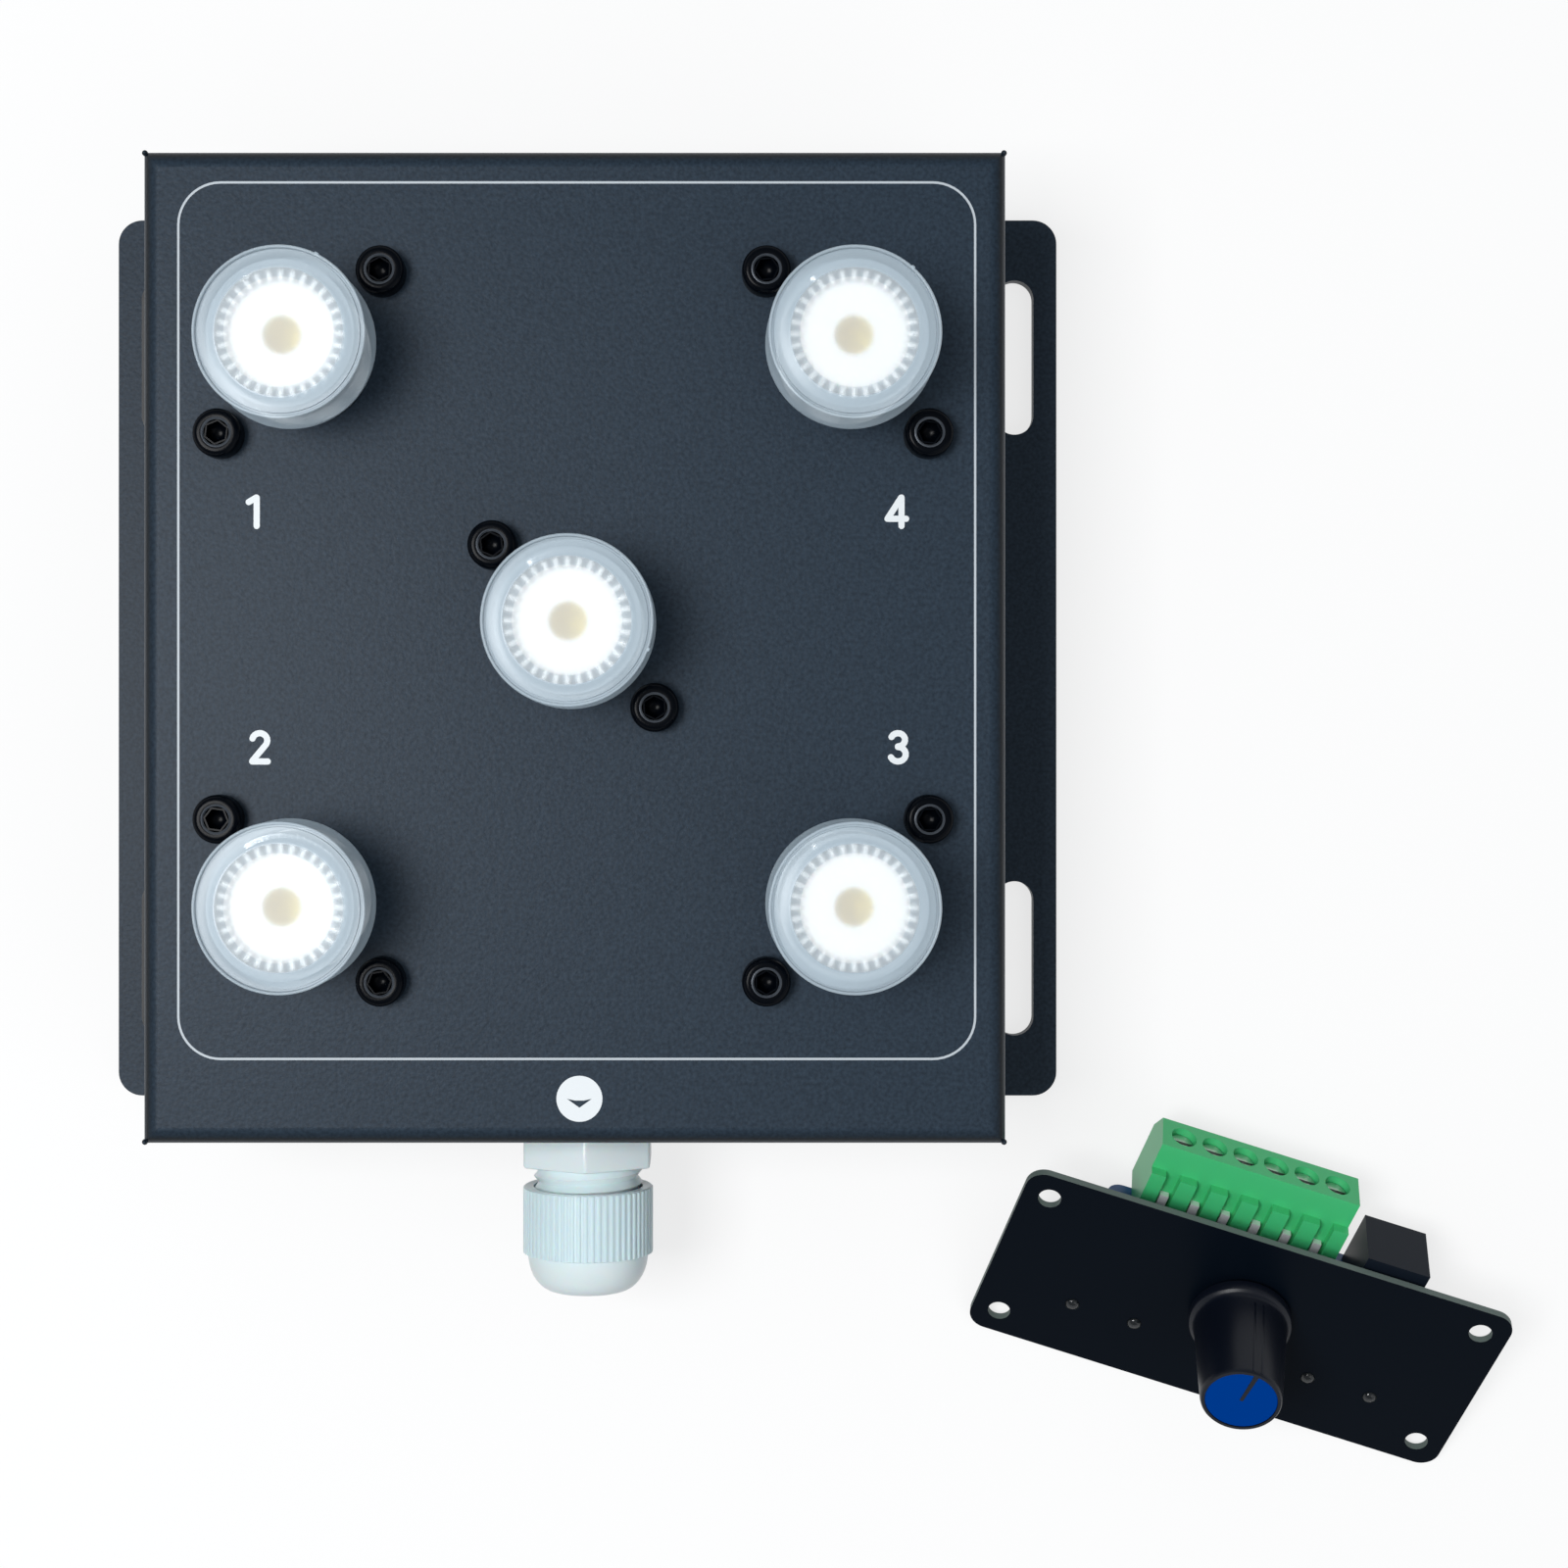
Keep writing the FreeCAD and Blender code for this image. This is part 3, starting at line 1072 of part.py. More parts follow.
def control_board():
    """Board behind the panel; its sketches lie on the plane of the board's upper face."""
    body = new_body("control_board_body")
    area = new_sketch(body, "deck_outline", "XZ_Plane", "-deck_level")
    rectangle(area, "-deck_left", "-deck_depth", "deck_width - deck_left", "0")
    flat = pad(body, area, "board_thickness")
    rear = -value("deck_depth")
    soften(body, "Fillet", flat,
           lambda edge: edge.BoundBox.ZMax < rear + 0.001 and edge.BoundBox.YLength > 0.99 * edge.Length,
           "deck_corner")
    holes = new_sketch(body, "deck_holes", "XZ_Plane", "-deck_level")
    for x in SWITCH_PINS:
        circle(holes, x, "-switch_pin_depth", "pin_hole")
    for x in POLES:
        circle(holes, x + " - block_left", "-block_setback - rib_depth / 2", "blade_width / 2 + blade_gap")
    pocket(body, holes, "board_thickness", along_normal=True)
    keep_in_unit("control_board", body)


def rotary_switch():
    case = block("switch_case", ("switch_side", "switch_side", "switch_depth"),
                 ("-switch_side / 2", SWITCH_Y + " - switch_side / 2", "-switch_depth"))
    bushing = rod("switch_bushing", "bushing_radius", "panel_thickness + bushing_length",
                  ("0", SWITCH_Y, "0"))
    bore = rod("switch_bore", "journal_radius + journal_gap",
               "journal_depth + journal_end_gap + panel_thickness + bushing_length",
               ("0", SWITCH_Y, "-journal_depth - journal_end_gap"))
    rise = "switch_drop + board_thickness + pin_proud"
    pins = [rod("switch_pin_%d" % step, "pin_radius", rise,
                (x, SWITCH_Y + " + switch_side / 2", "-switch_pin_depth"), "+y")
            for step, x in enumerate(SWITCH_PINS)]
    keep_in_unit("rotary_switch", cut("switch_bored", fuse("switch_whole", case, bushing, *pins), bore))

    washer_spot = ("0", SWITCH_Y, "panel_thickness")
    washer = rod("switch_washer", "washer_radius", "washer_height", washer_spot)
    nut = hexagon("bushing_nut", "bush_nut_flats", "bush_nut_height",
                  ("0", SWITCH_Y, "panel_thickness + washer_height"))
    hole = rod("bushing_nut_thread", "bushing_radius + snug", "washer_height + bush_nut_height", washer_spot)
    keep_in_unit("switch_nut", cut("switch_nut_bored", fuse("switch_nut_whole", washer, nut), hole))

    step_level = "panel_thickness + bushing_length + knob_lift / 4"
    shaft = turned("shaft_blank", [
        ("0", "-journal_depth"), ("journal_radius", "-journal_depth"), ("journal_radius", step_level),
        ("shaft_radius", step_level), ("shaft_radius", "shaft_top"), ("0", "shaft_top")])
    keep_in_unit("switch_shaft", twin("shaft_in_place", shaft, ("0", SWITCH_Y, "0")))


def knob():
    """Selector knob about its own axis; z = 0 is its open end, and its pointer is cut on the +Y side."""
    seat = "knob_height - knob_insert_depth"
    bore_top = "shaft_top - panel_thickness - knob_lift + snug"
    blank = turned("knob_blank", [
        ("knob_hollow", "0"), ("knob_skirt", "0"), ("knob_skirt", "knob_skirt_height"),
        ("knob_foot", "knob_foot_height"), ("knob_crown", "knob_height"), ("knob_insert", "knob_height"),
        ("knob_insert", seat), ("0", seat), ("0", bore_top), ("shaft_radius + snug", bore_top),
        ("shaft_radius + snug", "knob_hollow_depth"), ("knob_hollow", "knob_hollow_depth")])
    lean = value("atan((knob_foot - knob_crown) / (knob_height - knob_foot_height))")
    groove = block("knob_pointer", ("pointer_width", "knob_skirt", "knob_height"),
                   ("-pointer_width / 2", "knob_foot - pointer_depth", "knob_foot_height"))
    groove.Placement = Placement(groove.Placement.Base, Rotation(Vector(1, 0, 0), lean))
    insert = rod("knob_insert_blank", "knob_insert - snug", "knob_insert_depth", ("0", "0", seat))
    mark = block("knob_insert_pointer", ("pointer_width", "knob_insert", "knob_insert_depth / 3"),
                 ("-pointer_width / 2", "0", "knob_height - knob_insert_depth / 3"))
    turn = Rotation(Vector(0, 0, 1), -value("pointer_angle"))
    spot = ("0", SWITCH_Y, "panel_thickness + knob_lift")
    keep_in_unit("knob", twin("knob_in_place", cut("knob_grooved", blank, groove), spot, turn))
    keep_in_unit("knob_cap", twin("knob_cap_in_place", cut("knob_insert_marked", insert, mark), spot, turn))


def unit_terminal(pieces):
    """The control board's terminal block, standing on it with its ribbed back to the panel."""
    spot = ("-block_left", "deck_level", "-block_setback")
    for label, piece in zip(("terminal_block", "terminal_screws", "terminal_pins"), pieces):
        keep_in_unit(label, twin(label + "_in_place", piece, spot, ALONG["+y"]))


def power_jack():
    rear = "-jack_setback - jack_depth"
    axis_y = "deck_level + jack_axis"
    case = block("jack_case", ("jack_width", "jack_height", "jack_depth"), ("jack_left", "deck_level", rear))
    mouth = rod("jack_mouth_bore", "jack_mouth", "jack_mouth_depth", (JACK_X, axis_y, rear))
    keep_in_unit("power_jack", cut("jack_housing", case, mouth))
    keep_in_unit("jack_pin", rod("jack_pin_rod", "jack_pin_radius", "jack_pin_length",
                                 (JACK_X, axis_y, rear + " + jack_mouth_depth - jack_pin_length")))


def indicator_lamps():
    lamps = []
    for step, x in enumerate(LAMPS):
        name = "lamp_%d" % step
        lens = rod(name + "_lens", "lamp_radius", "panel_thickness", (x, "lamp_level", "0"))
        collar = rod(name + "_collar", "lamp_collar", "lamp_depth", (x, "lamp_level", "-lamp_depth"))
        lamps.append(fuse(name, lens, collar))
    keep_in_unit("indicator_lamps", group("lamps", lamps))


# ---------------------------------------------------------------- assembly

back_plate()
front_cover()
cover_fasteners()
sockets()
socket_fasteners()
relay_board()
diodes()
TERMINAL = terminal_block()
board_terminal(TERMINAL)
relays()
gland()
control_panel()
control_board()
rotary_switch()
knob()
unit_terminal(TERMINAL)
power_jack()
indicator_lamps()
doc.recompute()

for item in doc.Objects:
    if "Invalid" in item.State or "Error" in item.State:
        raise RuntimeError("%s failed: %s" % (item.Label, item.State))
for label, item in NODES.items():
    if item.Shape.isNull() or not item.Shape.isValid() or not item.Shape.Solids:
        raise RuntimeError("%s has no valid solid" % label)

os.makedirs("parts", exist_ok=True)
for label, item in NODES.items():
    item.Shape.exportStep("parts/%s.step" % label)
print("%d sub-parts" % len(NODES))
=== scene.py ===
"""Looks of the coaxial antenna switch: materials, prints, fine shapes, floor, light and camera."""
import math
import random

import bmesh
import bpy
from mathutils import Matrix, Vector


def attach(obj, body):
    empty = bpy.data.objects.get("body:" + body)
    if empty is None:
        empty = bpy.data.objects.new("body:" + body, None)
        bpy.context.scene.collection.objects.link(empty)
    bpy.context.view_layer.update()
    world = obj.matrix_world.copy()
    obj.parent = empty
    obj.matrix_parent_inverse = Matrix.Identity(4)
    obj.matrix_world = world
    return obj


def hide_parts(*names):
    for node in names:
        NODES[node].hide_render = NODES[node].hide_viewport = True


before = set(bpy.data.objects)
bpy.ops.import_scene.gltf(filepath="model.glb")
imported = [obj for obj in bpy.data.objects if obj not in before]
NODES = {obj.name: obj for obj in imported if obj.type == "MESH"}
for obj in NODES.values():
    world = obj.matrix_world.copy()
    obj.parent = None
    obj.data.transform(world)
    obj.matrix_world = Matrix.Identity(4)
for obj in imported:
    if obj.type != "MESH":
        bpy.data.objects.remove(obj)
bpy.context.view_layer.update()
MM = 0.001

# Where things stand, in millimetres of the frame.
FRONT = 38.0    # the cover's outer face
FLANGE = 36.8    # the sockets' flanges, against the cover's inner face
PITCH, RISE = 30.8, 2.3    # outer sockets from the middle one, and the middle one above the cover's middle
# each socket's axis, and the diagonal that its two screws stand on: 1 rises to the right, -1 falls
SOCKETS = {
    "1": (-PITCH, RISE + PITCH, 1),
    "2": (-PITCH, RISE - PITCH, -1),
    "3": (PITCH, RISE - PITCH, 1),
    "4": (PITCH, RISE + PITCH, -1),
    "common": (0.0, RISE, -1),
}
SCREW_OFFSET = 9.13

# The sockets and their caps. Bores are given by their radius.
BARREL_RADIUS, BARREL_BORE, BARREL_LENGTH = 7.94, 5.8, 15.5
THREAD_TOP, THREAD_DEPTH, THREAD_PITCH = 13.6, 0.55, 1.058    # 24 turns to the inch
SERRATIONS = 32
CAP_AIR, CAP_TOP, CAP_HEIGHT = 1.1, 1.2, 9.0    # air over the barrel, thickness of the top, height overall
HEX_CORNER = 1.4434    # corner radius of a 2.5 mm hexagon

# The control unit leans back on its terminal block.
BLOCK_SETBACK, BLOCK_DEPTH, DECK_LEVEL = 3.9, 9.0, 20.2
BOARD_THICKNESS, SWITCH_DROP, SWITCH_SIDE = 1.6, 0.1, 7.6
TILT = math.atan((BLOCK_SETBACK + BLOCK_DEPTH) / DECK_LEVEL)
UNIT = (Matrix.Translation((77.6, -92.9, 0.0)) @ Matrix.Rotation(math.radians(-17.4), 4, "Z")
        @ Matrix.Rotation(TILT, 4, "X"))
SWITCH_Y = DECK_LEVEL - BOARD_THICKNESS - SWITCH_DROP - SWITCH_SIDE / 2
PANEL_FACE, KNOB_FOOT = 1.0, 1.7    # heights from the panel's back
POINTER_TURN = -4.0
LAMP_ROW, LAMP_LEVEL = (-19.5, -11.4, 11.4, 19.5), 8.1
KNOB = (UNIT @ Matrix.Translation((0.0, SWITCH_Y, KNOB_FOOT))
        @ Matrix.Rotation(math.radians(POINTER_TURN), 4, "Z"))

# The gland's axis points out of the cover's lower wall, and its lengths are counted from there.
GLAND = Matrix.Translation((0.8, -56.25, 19.0)) @ Matrix.Rotation(math.radians(90.0), 4, "X")
GLAND_BORE, GLAND_FLATS = 4.0, 15.0
HEX_FOOT, HEX_TOP = 1.0, 5.0
NECK_RADIUS, NECK_TOP = 6.5, 12.5
NECK_THREAD_DEPTH, NECK_THREAD_PITCH = 0.6, 1.5
NUT_FOOT, NUT_SHOULDER = 7.6, 15.6
NUT_RIBS = 60


# ---------------------------------------------------------------- materials

def linear(code):
    """Linear colour from an sRGB hex code."""
    parts = [int(code[i:i + 2], 16) / 255 for i in (0, 2, 4)]
    return [c / 12.92 if c <= 0.04045 else ((c + 0.055) / 1.055) ** 2.4 for c in parts] + [1.0]


def add(tree, kind, inputs=None, **settings):
    """A shader node with its settings and inputs: values go on sockets, sockets are linked."""
    node = tree.nodes.new("ShaderNode" + kind)
    for key, value in settings.items():
        setattr(node, key, value)
    for key, value in (inputs or {}).items():
        if isinstance(value, bpy.types.NodeSocket):
            tree.links.new(value, node.inputs[key])
        else:
            node.inputs[key].default_value = value
    return node


def material(name, colour, roughness, metallic=0.0, **more):
    """A Principled material, its tree and its shader node."""
    mat = bpy.data.materials.new(name)
    mat.use_nodes = True
    tree = mat.node_tree
    shader = tree.nodes["Principled BSDF"]
    shader.inputs["Base Color"].default_value = linear(colour)
    shader.inputs["Roughness"].default_value = roughness
    shader.inputs["Metallic"].default_value = metallic
    for key, value in more.items():
        shader.inputs[key.replace("_", " ")].default_value = value
    return mat, tree, shader


def grain(tree, shader, width, height, strength):
    """Fine relief from noise: width and height of its lumps in millimetres, and how strongly it shows."""
    place = add(tree, "TexCoord")
    noise = add(tree, "TexNoise", {"Vector": place.outputs["Object"], "Scale": 1 / (width * MM),
                                   "Detail": 3.0})
    bump = add(tree, "Bump", {"Height": noise.outputs["Fac"], "Strength": strength, "Distance": height * MM})
    tree.links.new(bump.outputs["Normal"], shader.inputs["Normal"])


def mottle(tree, width, dark, light, low, high):
    """Spots of two colours: their width in millimetres, and at what share of the noise each is reached."""
    place = add(tree, "TexCoord")
    noise = add(tree, "TexNoise", {"Vector": place.outputs["Object"], "Scale": 1 / (width * MM),
                                   "Detail": 4.0})
    ramp = add(tree, "ValToRGB", {"Fac": noise.outputs["Fac"]})
    ramp.color_ramp.elements[0].position = low
    ramp.color_ramp.elements[0].color = linear(dark)
    ramp.color_ramp.elements[1].position = high
    ramp.color_ramp.elements[1].color = linear(light)
    return ramp


def painted_shade_on_bends(tree, shader, tone, bend, wall):
    """Painted shade: a tone, cut down to a share of itself on the sheet's bends and on its upright walls."""
    facing = add(tree, "SeparateXYZ", {0: add(tree, "NewGeometry").outputs["Normal"]})
    level = add(tree, "ValToRGB", {"Fac": facing.outputs["Z"]})
    stops = level.color_ramp.elements
    stops[0].position, stops[0].color = 0.3, (wall, wall, wall, 1.0)
    stops[1].position, stops[1].color = 0.995, (1.0, 1.0, 1.0, 1.0)
    stops.new(0.7).color = (bend, bend, bend, 1.0)
    mixed = add(tree, "VectorMath", {0: tone.outputs["Color"], 1: level.outputs["Color"]},
                operation="MULTIPLY")
    tree.links.new(mixed.outputs["Vector"], shader.inputs["Base Color"])


def veil(tree, shader, seen, lit):
    """Frosted plastic: how much it covers what is seen through it, and how much light it holds back."""
    path = add(tree, "LightPath")
    span = add(tree, "MapRange", {"Value": path.outputs["Is Camera Ray"], "To Min": lit, "To Max": seen})
    tree.links.new(span.outputs["Result"], shader.inputs["Alpha"])


def in_view(tree):
    """One for what is seen straight, in a gloss or through plastic, and nought for light on the object."""
    path = add(tree, "LightPath")
    seen = add(tree, "Math", {0: path.outputs["Is Camera Ray"], 1: path.outputs["Is Glossy Ray"]},
               operation="ADD")
    return add(tree, "Math", {0: seen.outputs[0], 1: path.outputs["Is Transmission Ray"]}, operation="ADD",
               use_clamp=True)


# Powder coat, sprayed and baked on sheet steel: satin, with a fine orange peel and a slight change of tone,
# both drawn only as coarse as they have to be to show.
PEEL_WIDTH, TONE_WIDTH = 1 / 2.2, 1 / 2.4    # 2.2 and 2.4 to the millimetre
PAINT, tree, shader = material("powder_coated_steel", "25323F", 0.42, Specular_IOR_Level=0.14)
tone = mottle(tree, TONE_WIDTH, "1E2A36", "2C3A48", low=0.3, high=0.7)
# painted shade: the coat's colour is darkened on the bends and the upright walls, by which way they face
painted_shade_on_bends(tree, shader, tone, bend=0.15, wall=0.75)
grain(tree, shader, PEEL_WIDTH, height=0.06, strength=0.5)
# Screen-printing ink: flat and matt. Where the line is thin, it covers less.
INK = material("white_screen_ink", "E4EAEE", 0.5)[0]
LINE_INK = material("thin_screen_ink", "B9C2CA", 0.5)[0]
# Black oxide, grown on steel in a bath: deep black with a small sharp gloss.
BLACK_STEEL = material("black_oxide_steel", "03060C", 0.22, Specular_IOR_Level=0.06)[0]
# The same on the hexagon's edge: lighter grey, a painted highlight on its chamfer.
SCREW_EDGE_HIGHLIGHT = material("screw_edge_painted_highlight", "3E444C", 0.4, 0.4)[0]
# Zinc, plated on steel: light grey metal.
ZINC = material("zinc_plated_steel", "C4C6C4", 0.32, 1.0)[0]
# Tin, plated on the terminals' brass tails: nearly white and dull.
TIN = material("tin_plated_brass", "E8EAEC", 0.45, 0.3)[0]
# Nickel, plated on turned brass: bright metal.
NICKEL = material("nickel_plated_brass", "E6EAEC", 0.3, 1.0)[0]
# The same between the serrations: darker, as painted shade in the gaps, and more matt than real nickel, to
# read through a cap.
NICKEL_PAINTED_SHADE = material("nickel_painted_shade", "7E8E99", 0.6, 0.3)[0]
# The same on the serrations: lighter, as painted light on their crests, and more matt than real nickel, to
# read through a cap.
NICKEL_PAINTED_LIGHT = material("nickel_painted_light", "F6FAFC", 0.5, 0.3)[0]
# Polytetrafluoroethylene, turned: pure white, a little light goes into it.
PTFE = material("ptfe", "FFFFFF", 0.5, Subsurface_Weight=0.2, Subsurface_Scale=0.001)[0]
# Gold, plated on bronze: more matt and yellow than real gold, to read through a cap.
GOLD = material("gold_plated_bronze", "FFF062", 0.5, 0.2)[0]
# Low-density polyethylene, moulded: milky, and half seen through.
FROST, tree, shader = material("frosted_polyethylene", "BCCDD9", 0.3)
veil(tree, shader, seen=0.6, lit=0.25)
# The same in the thin flat top: what lies below is seen, blurred.
LID, tree, shader = material("thin_frosted_polyethylene", "F6FBFD", 0.5, IOR=1.5, Transmission_Weight=0.55,
                             Specular_IOR_Level=0.2)
veil(tree, shader, seen=1.0, lit=0.04)
# The top again near its rim: a little bluer, darker as painted shade, and clearer.
LID_RIM, tree, shader = material("shaded_frosted_polyethylene", "E2EBF0", 0.5, IOR=1.5,
                                 Transmission_Weight=0.66, Specular_IOR_Level=0.2)
veil(tree, shader, seen=1.0, lit=0.04)
# Blue solder mask on glass-fibre laminate: smooth lacquer.
BOARD = material("blue_solder_mask", "1A5496", 0.3)[0]
# Black solder mask on glass-fibre laminate: satin lacquer, faintly uneven over the weave below it, which is
# drawn coarser than it is, so that it shows.
WEAVE_WIDTH = 1 / 0.9    # nine to the centimetre
PANEL, tree, shader = material("black_solder_mask", "060D16", 0.36, Specular_IOR_Level=0.04)
grain(tree, shader, WEAVE_WIDTH, height=0.05, strength=0.08)
# Cut edge of the laminate: bare, grey-green and matt.
LAMINATE = material("laminate_edge", "5E6C68", 0.6)[0]
# Polyamide, moulded: green, a little light goes into it.
GREEN = material("green_polyamide", "42BE78", 0.38, Subsurface_Weight=0.1, Subsurface_Scale=0.001)[0]
# Polyamide, moulded: black and satin.
BLACK_PLASTIC = material("black_polyamide", "121923", 0.35, Specular_IOR_Level=0.12)[0]
# Soft iron, stamped and plated: grey metal.
IRON = material("plated_soft_iron", "9A9A98", 0.35, 1.0)[0]
# Polyamide, moulded: pale grey with a soft glow.
GLAND_GREY = material("light_grey_polyamide", "DCE9EC", 0.28, Subsurface_Weight=0.25,
                      Subsurface_Scale=0.002)[0]
# Nitrile rubber, moulded: black and matt.
RUBBER = material("nitrile_rubber", "141414", 0.7)[0]
# Acrylonitrile butadiene styrene, moulded: a satin black grip and a matt blue disc.
KNOB_BLACK = material("black_abs", "0A0F1A", 0.36, Specular_IOR_Level=0.25)[0]
KNOB_BLUE = material("blue_abs", "003C92", 0.6, Specular_IOR_Level=0.0)[0]
# Epoxy, cast as a lamp's lens: dark while the lamp is off, and glossy.
LENS = material("clear_epoxy", "14181C", 0.12, Alpha=0.9)[0]
# White paper under the object: it shows white, and keeps a part of each shadow.
FLOOR, tree, shader = material("white_paper", "FAFBFC", 0.85)
seen = in_view(tree)
# It throws little light back at the object's sides. In a colour Mix, sockets 6 and 7 are A and B.
shade = add(tree, "Mix", {0: seen.outputs[0], 6: linear("767C82"), 7: linear("FAFBFC")}, data_type="RGBA")
tree.links.new(shade.outputs[2], shader.inputs["Base Color"])
GLOW_SHARE = 0.75
share = add(tree, "Math", {0: seen.outputs[0], 1: GLOW_SHARE}, operation="MULTIPLY")
glow = add(tree, "Emission", {"Color": (1.0, 1.0, 1.0, 1.0), "Strength": 1.0})
blend = add(tree, "MixShader", {0: share.outputs[0], 1: shader.outputs[0], 2: glow.outputs[0]})
tree.links.new(blend.outputs[0], tree.nodes["Material Output"].inputs["Surface"])


def paint(mat, *names):
    """Give CAD nodes one material."""
    for name in names:
        mesh = NODES[name].data
        mesh.materials.clear()
        mesh.materials.append(mat)


def paint_rim(name, rim, normal):
    """A second material on the faces that stand square to a direction."""
    mesh = NODES[name].data
    mesh.materials.append(rim)
    for face in mesh.polygons:
        face.material_index = 1 if abs(face.normal.dot(normal)) < 0.5 else 0


# ---------------------------------------------------------------- shapes

def finish_piece(name, mesh, mats, body, replaced=(), smooth=40.0):
    """A bmesh in millimetres becomes a piece that rides on a CAD body; smooth is an angle, or 0 for flat."""
    bmesh.ops.recalc_face_normals(mesh, faces=mesh.faces)
    data = bpy.data.meshes.new(name)
    mesh.transform(Matrix.Scale(MM, 4))
    mesh.to_mesh(data)
    mesh.free()
    for mat in mats:
        data.materials.append(mat)
    piece = bpy.data.objects.new(name, data)
    bpy.context.scene.collection.objects.link(piece)
    if smooth:
        data.shade_smooth()
        data.set_sharp_from_angle(angle=math.radians(smooth))
    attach(piece, body)
    if replaced:
        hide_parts(*replaced)


def lathe(mesh, profile, place, segments=72, closed=True, mark=0):
    """Turn a profile of (radius, height) about Z; a closed profile comes back to its start."""
    rings = []
    for radius, height in profile:
        if radius < 1e-6:
            rings.append([mesh.verts.new(place @ Vector((0, 0, height)))])
            continue
        ring = []
        for step in range(segments):
            turn = 2 * math.pi * step / segments
            spot = Vector((radius * math.cos(turn), radius * math.sin(turn), height))
            ring.append(mesh.verts.new(place @ spot))
        rings.append(ring)
    for low, high in zip(rings, rings[1:] + (rings[:1] if closed else [])):
        if len(low) == 1 and len(high) == 1:
            continue
        for step in range(segments):
            after = (step + 1) % segments
            corners = [low[0]] if len(low) == 1 else [low[step], low[after]]
            corners += [high[0]] if len(high) == 1 else [high[after], high[step]]
            mesh.faces.new(corners).material_index = mark


def thread(mesh, radius, depth, pitch, low, high, inner, place):
    """A threaded tube: crests climb one pitch per turn between two heights, over a plain bore."""
    segments = 72
    turns = int(math.ceil((high - low) / pitch)) + 1
    columns = []
    for step in range(segments):
        turn = 2 * math.pi * step / segments
        spots = [(inner, low), (radius - depth, low)]
        for half in range(-1, 2 * turns):
            height = low + pitch * (half / 2 + step / segments)
            if low < height < high:
                spots.append((radius if half % 2 else radius - depth, height))
        spots += [(radius - depth, high), (inner, high)]
        columns.append([(r * math.cos(turn), r * math.sin(turn), z) for r, z in spots])
    made = [[mesh.verts.new(place @ Vector(spot)) for spot in column] for column in columns]
    for step in range(segments):
        after = (step + 1) % segments
        left, right = made[step], made[after]
        i = j = 0
        # two columns may differ in length, so the lower of the two next points is joined first
        while i < len(left) - 1 or j < len(right) - 1:
            if j >= len(right) - 1 or (i < len(left) - 1
                                       and columns[step][i + 1][2] <= columns[after][j + 1][2]):
                corners = [left[i], right[j], left[i + 1]]
                i += 1
            else:
                corners = [left[i], right[j], right[j + 1]]
                j += 1
            mesh.faces.new(corners)
        mesh.faces.new([left[-1], right[-1], right[0], left[0]])


def box(mesh, low, high, place, bevel):
    """A box between two corners, with rounded edges."""
    part = bmesh.new()
    bmesh.ops.create_cube(part, size=1.0)
    sizes = [b - a for a, b in zip(low, high)]
    middle = Vector([(a + b) / 2 for a, b in zip(low, high)])
    part.transform(Matrix.Translation(middle) @ Matrix.Diagonal((*sizes, 1.0)))
    bmesh.ops.bevel(part, geom=part.edges[:], offset=bevel, segments=2, affect="EDGES", profile=0.5)
    join(mesh, part, place)


def join(mesh, part, place, mark=0):
    """Add one bmesh to another."""
    part.transform(place)
    new = {v: mesh.verts.new(v.co) for v in part.verts}
    for face in part.faces:
        mesh.faces.new([new[v] for v in face.verts]).material_index = mark
    part.free()


def prism(mesh, outline, low, high, place, mark=0, bevel=0.0):
    """An outline in X and Y, pulled up between two heights, with rounded edges if wanted."""
    part = bmesh.new()
    foot = [part.verts.new((x, y, low)) for x, y in outline]
    top = [part.verts.new((x, y, high)) for x, y in outline]
    part.faces.new(foot[::-1])
    part.faces.new(top)
    for step in range(len(outline)):
        after = (step + 1) % len(outline)
        part.faces.new([foot[step], foot[after], top[after], top[step]])
    if bevel:
        bmesh.ops.bevel(part, geom=part.edges[:], offset=bevel, segments=2, affect="EDGES", profile=0.5)
    join(mesh, part, place, mark)


def polygon(radius, count, turn=0.0):
    """Corners of a regular polygon."""
    ways = [turn + 2 * math.pi * i / count for i in range(count)]
    return [(radius * math.cos(way), radius * math.sin(way)) for way in ways]


def bow(cx, cy, rx, ry, start, end, steps=12):
    """Points on an arc between two angles in degrees."""
    spots = []
    for step in range(steps + 1):
        turn = math.radians(start + (end - start) * step / steps)
        spots.append((cx + rx * math.cos(turn), cy + ry * math.sin(turn)))
    return spots


def ease(width, *names):
    """Rounded edges on CAD nodes, in millimetres."""
    for name in names:
        bevel = NODES[name].modifiers.new("edges", "BEVEL")
        bevel.width = width * MM
        bevel.segments = 2
        bevel.limit_method = "ANGLE"
        bevel.angle_limit = math.radians(40)


# ---------------------------------------------------------------- the box

def tint_nodes():
    """Materials of the CAD nodes that stay, and their eased edges."""
    paint(PAINT, "back_plate", "front_cover")
    paint(BLACK_STEEL, "cover_screws")
    paint(ZINC, "cover_press_nuts", "socket_nuts", "board_terminal_screws", "terminal_screws")
    paint(TIN, "board_terminal_pins", "terminal_pins")
    paint(NICKEL, "board_spacers", "switch_nut", "switch_shaft", "rotary_switch", "jack_pin")
    paint(PTFE, "socket_insulators")
    paint(GOLD, "socket_contacts")
    paint(BOARD, "relay_board", "control_board")
    paint(GREEN, "board_terminal", "terminal_block")
    paint(BLACK_PLASTIC, "suppressor_diodes", "power_jack")
    for number in "1234":
        paint(BLACK_PLASTIC, "relay_case_" + number, "relay_base_" + number)
        paint(IRON, "relay_magnet_" + number, "relay_armature_" + number)
    paint(GLAND_GREY, "gland_locknut", "gland_claw")
    paint(RUBBER, "gland_gasket", "gland_seal")
    paint(PANEL, "control_panel")
    paint_rim("control_panel", LAMINATE, UNIT.to_3x3() @ Vector((0, 0, 1)))
    paint(LENS, "indicator_lamps")
    ease(0.12, "terminal_block", "board_terminal")
    ease(0.25, "power_jack")


